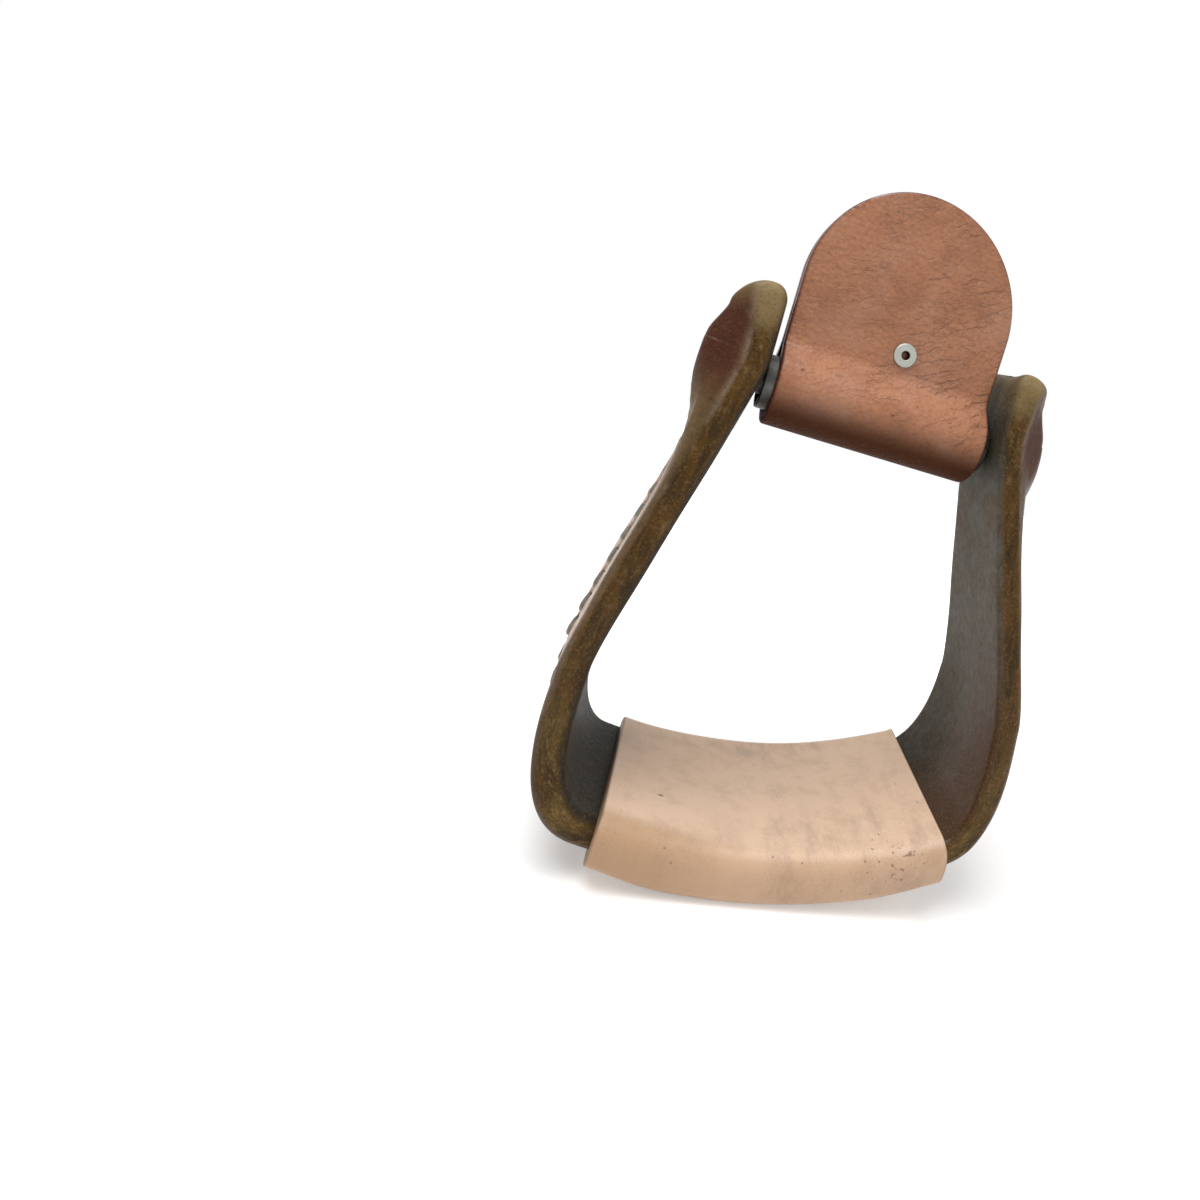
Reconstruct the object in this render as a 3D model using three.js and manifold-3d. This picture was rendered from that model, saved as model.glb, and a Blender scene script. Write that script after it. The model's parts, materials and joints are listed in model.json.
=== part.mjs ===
// Roper stirrup: a bent wood bow under laced rawhide, with a leather tread cover and a leather-wrapped
// roller. Millimetres, +Z up. X runs along the roller and -Y is the front. The origin lies under the
// middle of the tread.

import * as THREE from "three";
import { mergeVertices, toCreasedNormals } from "three/addons/utils/BufferGeometryUtils.js";
import Module from "manifold-3d";

const wasm = await Module();
wasm.setup();

// Bow, as wood and rawhide make it together
const rollerGap = 85.5; // clear width between the legs at the roller
const footWidth = 140.8; // widest clear width, for the foot
const legHeight = 188; // from under the middle of the tread to the leg tops
const neckLength = 20; // straight length at the leg tops
const neckHandle = 12; // how slowly the neck turns outwards
const widestHeight = 62; // where the legs stand widest apart
const legHandle = 12; // how slowly the leg comes upright there
const cornerHandle = 6; // upright pull on the bottom corner
const treadHandle = 20; // level pull on the bottom corner
const treadHalfSpan = 61; // from the middle of the tread to where the corner starts
const treadBow = 9.8; // how far the middle of the tread hangs below its ends
const neckDepth = 31; // front to back at the leg tops
const treadDepth = 73; // front to back at the tread
const taperStart = 20; // height above which the legs narrow
const earDip = 3; // how far the middle of a leg top lies below its two corners

// Layers
const woodThickness = 6;
const hideThickness = 1.6;
const layerGap = 0.3; // between pieces that lie on each other
const hideCorner = 3.2; // outer radius along the four long edges of the bow

// Lacing along the outer face
const laceWidth = 5.3;
const laceThickness = 1.2;
const laceClearance = 0.32; // between a strand and what it lies on
const laceArch = 0.5; // how far a strand bows up over the seam
const lacePitch = 8.3;
const laceLean = 2; // how far a strand climbs as it crosses the seam
const laceStart = 8.5; // first hole below the leg top
const laceRow = 6.5; // from the seam to each row of holes
const laceTail = 8; // tucked end at either end of a lace
const holeClearance = 0.3; // between a strand and the rim of its hole
const holePoint = 2.4; // how far a teardrop hole runs out beyond the strand
const seamGap = 3.2; // between the two edges of the rawhide
const grooveMargin = 1.1; // from the outermost strand to the side of the groove in the wood
const grooveSlack = 0.3; // extra depth of that groove, for the strands round the bottom corners

// Bolt and its nut
const boltDrop = 27.5; // from the leg tops down to the bolt
const boltDiameter = 9.5;
const boltClearance = 0.3; // all round the bolt
const headDiameter = 21;
const headHeight = 3.4;
const headRecess = 2.2; // depth of the head's seat in the wood
const nutAcross = 14.3; // across the flats
const nutHeight = 3.8;
const nutRecess = 3; // depth of the nut's seat in the wood
const washerDiameter = 20;
const washerThickness = 0.9;
const seatGap = 0.2; // between parts that bear on each other
const bulgeLength = 26; // from the bolt to where the raised rawhide ends, along the leg
const bulgeWidth = 9.4; // from the strands' edge to where it ends, across the leg
const bulgeCrown = 0.3; // share of the bulge that stays at its full height

// Roller
const tubeDiameter = 19;
const rollerReach = 42.3; // from the middle to either end of the tube, which just clears the necks
const rollerLeatherWidth = 78;
const plyThickness = 4.4;
const plySlit = 0.3; // between the two plies of the tab
const tabHeight = 78; // from the bolt to the top of the tab
const plyMeeting = 18; // height above the bolt where the plies come together
const wrapPull = 0.8; // how far the wrap runs on upright above the bolt, as a share of its radius
const meetingPull = 0.43; // how far the plies run on upright below their meeting, as a share of it
const rivetHeight = 23.4;
const rivetOffset = 2.8; // to the right of the middle
const rivetHeadDiameter = 8.6;
const rivetHeadThickness = 0.9;
const rivetShankDiameter = 4.4;
const rivetBore = 2.8;
const rivetLipDiameter = 6.6;
const burrDiameter = 9.2;
const burrThickness = 0.8;

// Tread cover
const coverThickness = 3.3;
const coverHalfSpan = 64; // from the middle to either end, along the tread
const coverSlack = 0.3; // below the lacing
const coverOverhang = 2; // air between the tread's edges and the cover's folds
const foldRadius = 7; // outside radius of the folds
const seamSetback = 15; // from the tread's front edge back to where the cover's edges meet underneath
const coverSeamGap = 2;
const restHalfSpan = 6; // half of the flat that the stirrup stands on
const tieOffset = 45; // from the middle to each tie
const tieWidth = 4.8;
const tieReach = 6; // from the cover's seam to each slot
const knotRadius = 2;
const stubLength = 2.2;

// Distances between sections of the bow
const bulgeStep = 3.7;
const cornerStep = 4.6;
const plainStep = 12;

const overcut = 1; // how far a cutting tool runs past what it cuts

// Half thicknesses, out from the middle of the wood
const woodFace = woodThickness / 2;
const hideInside = woodFace + layerGap;
const hideOutside = hideInside + hideThickness;
const strandBelow = hideInside - laceClearance - laceThickness / 2;
const strandAbove = hideOutside + laceClearance + laceThickness / 2;
const grooveFloor = strandBelow - laceThickness / 2 - laceClearance - grooveSlack;
const strandEdge = laceRow + laceThickness / 2;
const grooveHalf = strandEdge + grooveMargin;
const laceStand = laceClearance + laceThickness + laceArch;
const coverFloorInside = hideOutside + laceStand + coverSlack;
const coverFloor = coverFloorInside + coverThickness;
const coverSeam = seamSetback - treadDepth / 2;

// How far the bolt's ends stand out, and the room that the strands need above them
const headTop = woodFace - headRecess + seatGap + headHeight;
const nutTop = woodFace - nutRecess + seatGap + washerThickness + seatGap + nutHeight;
const strandRoom = laceThickness + 2 * laceClearance - hideInside;

const finish = {
  wood: new THREE.MeshStandardMaterial({ color: 0xb58d5c, roughness: 0.7, metalness: 0 }),
  rawhide: new THREE.MeshStandardMaterial({ color: 0x7a5a30, roughness: 0.42, metalness: 0 }),
  thong: new THREE.MeshStandardMaterial({ color: 0x70695f, roughness: 0.85, metalness: 0 }),
  tread: new THREE.MeshStandardMaterial({ color: 0xcba383, roughness: 0.6, metalness: 0 }),
  russet: new THREE.MeshStandardMaterial({ color: 0xa8643f, roughness: 0.5, metalness: 0 }),
  steel: new THREE.MeshStandardMaterial({ color: 0x8d9499, roughness: 0.45, metalness: 1 }),
  rivet: new THREE.MeshStandardMaterial({ color: 0xc8cbcf, roughness: 0.3, metalness: 1 }),
};

// Middle line of the bow, from the left leg's top round the tread to the right leg's top
const bowFloor = hideOutside;
const neckX = rollerGap / 2 + hideOutside;
const widestX = footWidth / 2 + hideOutside;
const bow = makeBow();
const bowLength = bow.getLength();
const bowMiddle = bowLength / 2;

// Where the bolt crosses the middle of the right leg
const boltX = -place(boltDrop, 0, 0).x;
const boltZ = place(boltDrop, 0, 0).z;
const boltLean = Math.abs(bowFrame(boltDrop).out.z);
const headBulge = headTop + strandRoom + (boltLean * headDiameter) / 4;
const nutBulge = nutTop + strandRoom + (boltLean * nutAcross) / 2;
const clearOfBulge = hideOutside + Math.max(headBulge, nutBulge) + overcut;

function makeBow() {
  const at = (x, z) => new THREE.Vector3(x, 0, z);
  const treadSlope = Math.atan2(2 * treadBow, treadHalfSpan);
  const across = Math.cos(treadSlope);
  const rise = Math.sin(treadSlope);
  const endZ = bowFloor + treadBow;
  const third = treadHalfSpan / 3;
  const half = (side) => [
    new THREE.LineCurve3(at(side * neckX, legHeight), at(side * neckX, legHeight - neckLength)),
    new THREE.CubicBezierCurve3(
      at(side * neckX, legHeight - neckLength),
      at(side * neckX, legHeight - neckLength - neckHandle),
      at(side * widestX, widestHeight + legHandle),
      at(side * widestX, widestHeight),
    ),
    new THREE.CubicBezierCurve3(
      at(side * widestX, widestHeight),
      at(side * widestX, widestHeight - cornerHandle),
      at(side * (treadHalfSpan + treadHandle * across), endZ + treadHandle * rise),
      at(side * treadHalfSpan, endZ),
    ),
    new THREE.CubicBezierCurve3(
      at(side * treadHalfSpan, endZ),
      at(side * (treadHalfSpan - third * across), endZ - third * rise),
      at(side * third, bowFloor),
      at(0, bowFloor),
    ),
  ];
  const path = new THREE.CurvePath();
  half(-1).forEach((curve) => path.add(curve));
  half(1).reverse().forEach((curve) => path.add(reversed(curve)));
  return path;
}

// The same straight or cubic curve, run the other way
function reversed(curve) {
  const points = [curve.v3, curve.v2, curve.v1, curve.v0].filter(Boolean);
  return new curve.constructor(...points);
}

// Middle point and outward direction at a distance along the bow, carried on straight past its ends
function bowFrame(s) {
  const inside = THREE.MathUtils.clamp(s, 0, bowLength);
  const step = bowLength * 1e-4;
  const before = bow.getPoint(Math.max(0, inside - step) / bowLength);
  const after = bow.getPoint(Math.min(bowLength, inside + step) / bowLength);
  const along = after.sub(before).normalize();
  const middle = bow.getPoint(inside / bowLength).addScaledVector(along, s - inside);
  return { middle, out: new THREE.Vector3(along.z, 0, -along.x) };
}

function halfDepth(z) {
  const share = THREE.MathUtils.clamp((z - taperStart) / (legHeight - taperStart), 0, 1);
  return THREE.MathUtils.lerp(treadDepth, neckDepth, share) / 2;
}

// A point of the bow: distance along it, from its middle plane, and out from its middle line
function place(s, y, out) {
  const frame = bowFrame(s);
  const point = frame.middle.addScaledVector(frame.out, out);
  point.y = y;
  return point;
}

// How far the rawhide and its lacing rise over the bolt's ends, level across the strands
function bulge(s, y) {
  const beside = Math.max(0, Math.abs(y) - strandEdge);
  const rise = (centre, height) => {
    const away = Math.hypot((s - centre) / bulgeLength, beside / bulgeWidth);
    return height * (1 - THREE.MathUtils.smoothstep(away, bulgeCrown, 1));
  };
  return rise(boltDrop, headBulge) + rise(bowLength - boltDrop, nutBulge);
}

// Skins a row of rings that have equally many points, and closes both ends with fans round their middles
class LoftGeometry extends THREE.BufferGeometry {
  constructor(rings) {
    super();
    const count = rings[0].length;
    const last = (rings.length - 1) * count;
    const hub = rings.length * count;
    const index = [];
    for (let i = 0; i < count; i++) {
      const next = (i + 1) % count;
      for (let start = 0; start < last; start += count) {
        const [a, b] = [start + i, start + next];
        index.push(a, b, b + count, a, b + count, a + count);
      }
      index.push(hub, next, i, hub + 1, last + i, last + next);
    }
    const middles = [rings[0], rings[rings.length - 1]].map((ring) =>
      ring.reduce((sum, point) => sum.add(point), new THREE.Vector3()).divideScalar(count),
    );
    this.setIndex(index);
    this.setFromPoints([...rings.flat(), ...middles]);
    turnOutwards(this);
  }
}

function turnOutwards(geometry) {
  const index = geometry.index.array;
  const { position } = geometry.attributes;
  const [a, b, c] = [new THREE.Vector3(), new THREE.Vector3(), new THREE.Vector3()];
  let volume = 0;
  for (let i = 0; i < index.length; i += 3) {
    [a, b, c].forEach((corner, k) => corner.fromBufferAttribute(position, index[i + k]));
    volume += a.dot(b.cross(c));
  }
  if (volume > 0) return;
  for (let i = 0; i < index.length; i += 3) [index[i + 1], index[i + 2]] = [index[i + 2], index[i + 1]];
}

function solid(geometry) {
  const plain = new THREE.BufferGeometry();
  plain.setAttribute("position", geometry.attributes.position);
  plain.setIndex(geometry.index);
  const merged = mergeVertices(plain, 1e-4);
  return new wasm.Manifold(
    new wasm.Mesh({
      numProp: 3,
      vertProperties: new Float32Array(merged.attributes.position.array),
      triVerts: new Uint32Array(merged.index.array),
    }),
  );
}

const cut = (body, tools) => tools.reduce((left, tool) => left.subtract(solid(tool)), body);
const join = (body, others) => others.reduce((whole, other) => whole.add(solid(other)), body);

function geometryOf(body) {
  const mesh = body.getMesh();
  const geometry = new THREE.BufferGeometry();
  geometry.setAttribute("position", new THREE.BufferAttribute(new Float32Array(mesh.vertProperties), 3));
  geometry.setIndex(new THREE.BufferAttribute(new Uint32Array(mesh.triVerts), 1));
  return geometry;
}

function piece(name, geometry, material) {
  const mesh = new THREE.Mesh(toCreasedNormals(geometry, Math.PI / 5), material);
  mesh.name = name;
  return mesh;
}

// A round bar along X, from one x to another
function barAlongX(radius, from, to, segments = 24) {
  const bar = new THREE.CylinderGeometry(radius, radius, Math.abs(to - from), segments);
  return bar.rotateZ(Math.PI / 2).translate((from + to) / 2, 0, 0);
}

// Distances along the bow for its sections: close together round the bolt and the bottom corner
function stations(from, to) {
  const marks = [];
  const fill = (a, b, step) => {
    const count = Math.max(1, Math.round((b - a) / step));
    for (let i = 0; i < count; i++) marks.push(a + ((b - a) * i) / count);
  };
  const bulgeEnd = boltDrop + bulgeLength;
  const cornerStart = bowMiddle - treadHalfSpan * 1.9;
  const cornerEnd = bowMiddle - treadHalfSpan * 0.98;
  fill(from, bulgeEnd, bulgeStep);
  fill(bulgeEnd, cornerStart, plainStep);
  fill(cornerStart, cornerEnd, cornerStep);
  fill(cornerEnd, bowMiddle, plainStep);
  const half = marks.filter((mark) => mark < bowMiddle);
  const otherHalf = half.map((mark) => bowLength - mark).reverse();
  return [...half, bowMiddle, ...otherHalf].filter((mark) => mark <= to);
}

// Section of the bow at a distance along it, as far inside the rawhide's outer surface as asked. The
// outer face rises over the bolt's ends at points that lie the given shares of the way from the strands
// to its edge.
function bowSection(s, inset, shares, cornerSteps) {
  const half = halfDepth(bowFrame(s).middle.z) - inset;
  const face = hideOutside - inset;
  const radius = hideCorner - inset;
  const flat = half - radius;
  const outer = shares.map((share) => {
    const y = THREE.MathUtils.lerp(strandEdge, flat, share);
    return [y, face + bulge(s, y)];
  });
  const edge = [];
  for (const side of [1, -1]) {
    for (let i = 0; i <= cornerSteps; i++) {
      const turn = (Math.PI / 2) * (side > 0 ? i / cornerSteps : 1 - i / cornerSteps);
      edge.push([flat + radius * Math.sin(turn), side * (face - radius + radius * Math.cos(turn))]);
    }
  }
  const right = [...outer, ...edge];
  const left = right.map(([y, out]) => [-y, out]).reverse();
  return [...right, ...left].map(([y, out]) => place(s, y, out));
}

// A block along the outer face, between two distances from the middle plane and two from the middle line
function blockAlong(marks, nearY, farY, low, high) {
  const rings = marks.map((s) => [
    place(s, nearY, low),
    place(s, farY, low),
    place(s, farY, high),
    place(s, nearY, high),
  ]);
  return new LoftGeometry(rings);
}

// Round tool that dips the middle of a leg top and leaves its two corners standing
function earTool(inset) {
  const half = neckDepth / 2 - hideCorner;
  const radius = (half * half + earDip * earDip) / (2 * earDip);
  const tool = barAlongX(radius + inset, -2 * widestX, 2 * widestX, 80);
  return tool.translate(0, 0, legHeight + radius - earDip);
}

function makeWood() {
  const inset = hideThickness + layerGap;
  const marks = stations(inset, bowLength - inset);
  const blank = solid(new LoftGeometry(marks.map((s) => bowSection(s, inset, [], 1))));
  const boltHole = barAlongX(boltDiameter / 2 + boltClearance, -widestX, widestX);
  const seat = (side, radius, depth) =>
    barAlongX(radius + layerGap, side * (boltX + woodFace - depth), side * (boltX + 2 * hideOutside), 28);
  const tools = [boltHole, seat(-1, headDiameter / 2, headRecess), seat(1, washerDiameter / 2, nutRecess)];
  tools.forEach((tool) => tool.translate(0, 0, boltZ));
  const groove = blockAlong(stations(0, bowLength), -grooveHalf, grooveHalf, grooveFloor, hideOutside);
  return cut(blank, [groove, earTool(inset), ...tools]);
}

// The rawhide is a sleeve with its seam open along the outer face and folded shut over the leg tops
function makeHide() {
  const rim = [0, 0.35].map((share) => hideThickness * share);
  const rimInset = [0.75, 0.25].map((share) => hideThickness * share);
  const marks = stations(hideThickness, bowLength - hideThickness);
  const shares = [0, 0.35, 0.7];
  const skin = [
    ...rim.map((s, i) => bowSection(s, rimInset[i], shares, 2)),
    ...marks.map((s) => bowSection(s, 0, shares, 2)),
    ...rim.map((s, i) => bowSection(bowLength - s, rimInset[i], shares, 2)).reverse(),
  ];
  const hollow = new LoftGeometry(marks.map((s) => bowSection(s, hideThickness, shares, 1)));
  const cavity = cut(solid(hollow), [earTool(hideThickness)]);
  const seam = blockAlong(marks, -seamGap / 2, seamGap / 2, 0, clearOfBulge);
  const slot = cut(solid(seam), [earTool(hideThickness * 2)]);
  const boltHoles = [-1, 1].map((side) =>
    barAlongX(boltDiameter / 2 + boltClearance, side * rollerReach, side * boltX).translate(0, 0, boltZ),
  );
  const sleeve = cut(solid(new LoftGeometry(skin)), [earTool(0)]).subtract(cavity).subtract(slot);
  return cut(sleeve, [...boltHoles, ...laceHoles()]);
}

// Where each strand of one lace crosses the seam, counted from its leg top
function stitchMarks() {
  const room = bowMiddle - laceStart - laceLean - laceWidth - overcut;
  const count = Math.floor(room / lacePitch) + 1;
  return Array.from({ length: count }, (_, i) => laceStart + i * lacePitch);
}

// Teardrop holes: straight where the strand bears, pointed away from the seam
function laceHoles() {
  const halfWidth = laceWidth / 2 + holeClearance;
  const near = laceRow - laceThickness / 2 - holeClearance;
  const far = laceRow + laceThickness / 2 + holeClearance;
  const outline = [
    [-halfWidth, near],
    [halfWidth, near],
    [halfWidth, far],
    [0, far + holePoint],
    [-halfWidth, far],
  ];
  const depths = [woodFace / 2, clearOfBulge];
  const holes = [];
  for (const fromRight of [false, true]) {
    for (const mark of stitchMarks()) {
      for (const row of [-1, 1]) {
        const centre = row < 0 ? mark : mark + laceLean;
        const corner = ([along, y], out) => {
          const s = centre + along;
          return place(fromRight ? bowLength - s : s, row * y, out);
        };
        holes.push(new LoftGeometry(depths.map((out) => outline.map((point) => corner(point, out)))));
      }
    }
  }
  return holes;
}

// One whole lace: over the seam, down a hole, back below the rawhide, and up the next hole
function makeLace(fromRight) {
  const half = laceThickness / 2;
  const rings = [];
  const ring = (s, y, out, thickY, thickOut) => {
    const corners = [
      [-1, 1],
      [1, 1],
      [1, -1],
      [-1, -1],
    ];
    rings.push(
      corners.map(([alongSide, thickSide]) => {
        const along = s + (alongSide * laceWidth) / 2;
        const across = y + thickSide * thickY * half;
        const at = fromRight ? bowLength - along : along;
        return place(at, across, out + thickSide * thickOut * half + bulge(at, across));
      }),
    );
  };
  const marks = stitchMarks();
  ring(marks[0], -laceRow + laceTail, strandBelow, 0, -1);
  for (const mark of marks) {
    const end = mark + laceLean;
    if (mark > marks[0]) ring(mark - (lacePitch - laceLean) / 2, 0, strandBelow, 0, -1);
    ring(mark, -laceRow, strandBelow, -1, -1);
    ring(mark, -laceRow, strandAbove, -1, 1);
    ring(mark + laceLean / 2, 0, strandAbove + laceArch, 0, 1);
    ring(end, laceRow, strandAbove, 1, 1);
    ring(end, laceRow, strandBelow, 1, -1);
  }
  ring(marks[marks.length - 1] + laceLean, laceRow - laceTail, strandBelow, 0, -1);
  return new LoftGeometry(rings);
}

// Lathe a profile of [radius, x] pairs round the X axis
function turnedAlongX(profile, segments) {
  const points = profile.map(([radius, x]) => new THREE.Vector2(radius, x));
  return new THREE.LatheGeometry(points, segments).rotateZ(-Math.PI / 2);
}

function makeBolt() {
  const radius = boltDiameter / 2;
  const seat = -(boltX + woodFace - headRecess + seatGap);
  const end = boltX + nutTop;
  const rim = headDiameter / 2;
  const profile = [
    [0, seat - headHeight],
    [rim * 0.45, seat - headHeight * 0.93],
    [rim * 0.8, seat - headHeight * 0.66],
    [rim, seat - headHeight * 0.3],
    [rim, seat],
    [radius, seat],
    [radius, end - radius * 0.25],
    [radius * 0.75, end],
    [0, end],
  ];
  return turnedAlongX(profile, 24);
}

function ringPlate(outer, inner, thickness, segments) {
  const shape = new THREE.Shape().absarc(0, 0, outer, 0, Math.PI * 2);
  shape.holes.push(new THREE.Path().absarc(0, 0, inner, 0, Math.PI * 2, true));
  const options = { depth: thickness, bevelEnabled: false, curveSegments: segments };
  return new THREE.ExtrudeGeometry(shape, options);
}

function makeWasher() {
  const bore = boltDiameter / 2 + boltClearance;
  const plate = ringPlate(washerDiameter / 2, bore, washerThickness, 14);
  return plate.rotateY(Math.PI / 2).translate(boltX + woodFace - nutRecess + seatGap, 0, 0);
}

// Hexagon nut with its corners chamfered at the outer end
function makeNut() {
  const corner = nutAcross / 2 / Math.cos(Math.PI / 6);
  const shape = new THREE.Shape();
  for (let i = 0; i < 6; i++) {
    const turn = (i * Math.PI) / 3;
    shape[i ? "lineTo" : "moveTo"](corner * Math.cos(turn), corner * Math.sin(turn));
  }
  shape.holes.push(new THREE.Path().absarc(0, 0, boltDiameter / 2 + seatGap, 0, Math.PI * 2, true));
  const seat = boltX + woodFace - nutRecess + seatGap + washerThickness + seatGap;
  const options = { depth: nutHeight, bevelEnabled: false, curveSegments: 14 };
  const hexagon = new THREE.ExtrudeGeometry(shape, options).rotateY(Math.PI / 2).translate(seat, 0, 0);
  const chamfer = turnedAlongX(
    [
      [0, seat - overcut],
      [corner + overcut, seat - overcut],
      [corner + overcut, seat + nutHeight * 0.72],
      [nutAcross / 2, seat + nutHeight],
      [0, seat + nutHeight],
    ],
    24,
  );
  return solid(hexagon).intersect(solid(chamfer));
}

function makeTube() {
  const bore = boltDiameter / 2 + boltClearance;
  const tube = ringPlate(tubeDiameter / 2, bore, 2 * rollerReach, 14);
  return tube.rotateY(Math.PI / 2).translate(-rollerReach, 0, 0);
}

// The strap's run seen from the end: up the back, round under the tube and up the front
function strapLine() {
  const wrap = tubeDiameter / 2 + layerGap + plyThickness / 2;
  const upright = plySlit / 2 + plyThickness / 2;
  const path = new THREE.CurvePath();
  const at = (y, z) => new THREE.Vector2(y, z);
  const ply = (side) => new THREE.LineCurve(at(side * upright, plyMeeting), at(side * upright, tabHeight));
  const bend = (side) =>
    new THREE.CubicBezierCurve(
      at(side * wrap, 0),
      at(side * wrap, wrap * wrapPull),
      at(side * upright, plyMeeting * (1 - meetingPull)),
      at(side * upright, plyMeeting),
    );
  path.add(reversed(ply(-1)));
  path.add(reversed(bend(-1)));
  path.add(new THREE.EllipseCurve(0, 0, wrap, wrap, Math.PI, Math.PI * 2));
  path.add(bend(1));
  path.add(ply(1));
  return path.curves.flatMap((curve, i) => {
    const steps = curve.isLineCurve ? 1 : curve.isEllipseCurve ? 16 : 7;
    return curve.getPoints(steps).slice(i ? 1 : 0);
  });
}

function makeStrap() {
  const line = strapLine();
  const offset = (distance) =>
    line.map((p, i) => {
      const before = line[Math.max(0, i - 1)];
      const after = line[Math.min(line.length - 1, i + 1)];
      const along = after.clone().sub(before).normalize();
      return new THREE.Vector2(p.x - along.y * distance, p.y + along.x * distance);
    });
  const outline = [...offset(plyThickness / 2), ...offset(-plyThickness / 2).reverse()];
  const strip = new THREE.ExtrudeGeometry(new THREE.Shape(outline), {
    depth: rollerLeatherWidth,
    bevelEnabled: false,
  });
  // The extrusion's own x, y and z become the part's Y, Z and X
  const [x, y, z] = [0, 1, 2].map((axis) => new THREE.Vector3().setComponent(axis, 1));
  strip.applyMatrix4(new THREE.Matrix4().makeBasis(y, z, x));
  strip.translate(-rollerLeatherWidth / 2, 0, 0);
  const half = rollerLeatherWidth / 2;
  const archBase = tabHeight - half;
  const arch = new THREE.Shape().moveTo(half, -2 * tubeDiameter);
  arch.lineTo(half, archBase).absarc(0, archBase, half, 0, Math.PI).lineTo(-half, -2 * tubeDiameter);
  const reach = tubeDiameter + 2 * plyThickness;
  const options = { depth: 2 * reach, bevelEnabled: false, curveSegments: 14 };
  const cutter = new THREE.ExtrudeGeometry(arch, options);
  cutter.rotateX(Math.PI / 2).translate(0, reach, 0);
  const hole = new THREE.CylinderGeometry(rivetHoleRadius, rivetHoleRadius, 4 * plyThickness, 20);
  hole.translate(rivetOffset, 0, rivetHeight);
  return cut(solid(strip).intersect(solid(cutter)), [hole]);
}

const rivetHoleRadius = rivetShankDiameter / 2 + layerGap;

// Tubular rivet: a pressed head in front, an open bore and a rolled lip over its burr at the back
function makeRivet() {
  const shank = rivetShankDiameter / 2;
  const bore = rivetBore / 2;
  const head = rivetHeadDiameter / 2;
  const lip = rivetLipDiameter / 2;
  const grip = plyThickness + plySlit / 2 + seatGap;
  const lipBase = grip + burrThickness + seatGap;
  const profile = [
    [bore, -grip - rivetHeadThickness * 0.7],
    [bore * 1.35, -grip - rivetHeadThickness],
    [head * 0.78, -grip - rivetHeadThickness],
    [head, -grip - rivetHeadThickness * 0.4],
    [head, -grip],
    [shank, -grip],
    [shank, lipBase],
    [lip, lipBase],
    [lip, lipBase + rivetHeadThickness * 0.5],
    [lip * 0.75, lipBase + rivetHeadThickness],
    [bore, lipBase + rivetHeadThickness * 0.6],
  ];
  const points = [...profile, profile[0]].map(([radius, y]) => new THREE.Vector2(radius, y));
  return new THREE.LatheGeometry(points, 16).translate(rivetOffset, 0, rivetHeight);
}

function makeBurr() {
  const base = plyThickness + plySlit / 2 + seatGap / 2;
  const plate = ringPlate(burrDiameter / 2, rivetHoleRadius, burrThickness, 10);
  return plate.rotateX(-Math.PI / 2).translate(rivetOffset, base, rivetHeight);
}

// Section of the tread cover's inner surface, a loose loop that is flat below, grown outwards as asked
function coverSection(s, grow, cornerSteps) {
  const radius = foldRadius - coverThickness + grow;
  const deep = treadDepth / 2 + coverOverhang + grow - radius;
  const low = coverFloorInside + grow - radius;
  const high = radius - hideOutside - layerGap - grow;
  const ring = [];
  for (const [sideY, sideOut] of [[1, 1], [1, -1], [-1, -1], [-1, 1]]) {
    for (let i = 0; i <= cornerSteps; i++) {
      const turn = (Math.PI / 2) * (sideY * sideOut > 0 ? 1 - i / cornerSteps : i / cornerSteps);
      const out = (sideOut > 0 ? low : high) + sideOut * radius * Math.sin(turn);
      ring.push(place(s, sideY * (deep + radius * Math.cos(turn)), out));
    }
  }
  return ring;
}

function makeCover() {
  const steps = 5;
  const side = Array.from({ length: steps + 1 }, (_, i) =>
    THREE.MathUtils.lerp(restHalfSpan, coverHalfSpan, i / steps),
  );
  const marks = [...side.map((d) => bowMiddle - d).reverse(), ...side.map((d) => bowMiddle + d)];
  const longer = [marks[0] - overcut, ...marks, marks[marks.length - 1] + overcut];
  const outside = new LoftGeometry(marks.map((s) => coverSection(s, coverThickness, 4)));
  const inside = new LoftGeometry(longer.map((s) => coverSection(s, 0, 2)));
  const through = [coverFloorInside - overcut, coverFloor + overcut];
  const seam = blockAlong(longer, coverSeam - coverSeamGap / 2, coverSeam + coverSeamGap / 2, ...through);
  const across = laceThickness / 2 + holeClearance;
  const slots = [-1, 1].flatMap((sideX) =>
    [-1, 1].map((edge) => {
      const y = coverSeam + edge * tieReach;
      return blockAlong(tieMarks(sideX, holeClearance), y - across, y + across, ...through);
    }),
  );
  return cut(solid(outside), [inside, seam, ...slots]);
}

// Both sides of a tie along the bow, spread by a margin
function tieMarks(side, margin) {
  return [-1, 1].map((edge) => bowMiddle + side * tieOffset + edge * (tieWidth / 2 + margin));
}

// A thong loop through two slots of the cover, with its knot and cut end below
function makeTie(side) {
  const top = coverFloorInside - laceClearance;
  const bottom = coverFloor + laceClearance;
  const [outer, inner] = [1, -1].map((sign) => tieReach + (sign * laceThickness) / 2);
  const loop = blockAlong(
    tieMarks(side, 0),
    coverSeam - outer,
    coverSeam + outer,
    top - laceThickness,
    bottom + laceThickness,
  );
  const window = blockAlong(tieMarks(side, overcut), coverSeam - inner, coverSeam + inner, top, bottom);
  const knotOut = bottom + laceThickness + knotRadius * 0.2;
  const knotSpot = place(bowMiddle + side * tieOffset, coverSeam - tieReach / 2, knotOut);
  const knot = new THREE.IcosahedronGeometry(knotRadius, 1).scale(1.1, 1.1, 0.7);
  knot.translate(knotSpot.x, knotSpot.y, knotSpot.z);
  const stub = new THREE.CylinderGeometry(knotRadius * 0.75, knotRadius * 0.35, stubLength, 6);
  const stubZ = knotSpot.z - stubLength / 2 - knotRadius * 0.2;
  stub.rotateX(Math.PI / 2).translate(knotSpot.x, knotSpot.y, stubZ);
  return join(cut(solid(loop), [window]), [knot, stub]);
}

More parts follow.
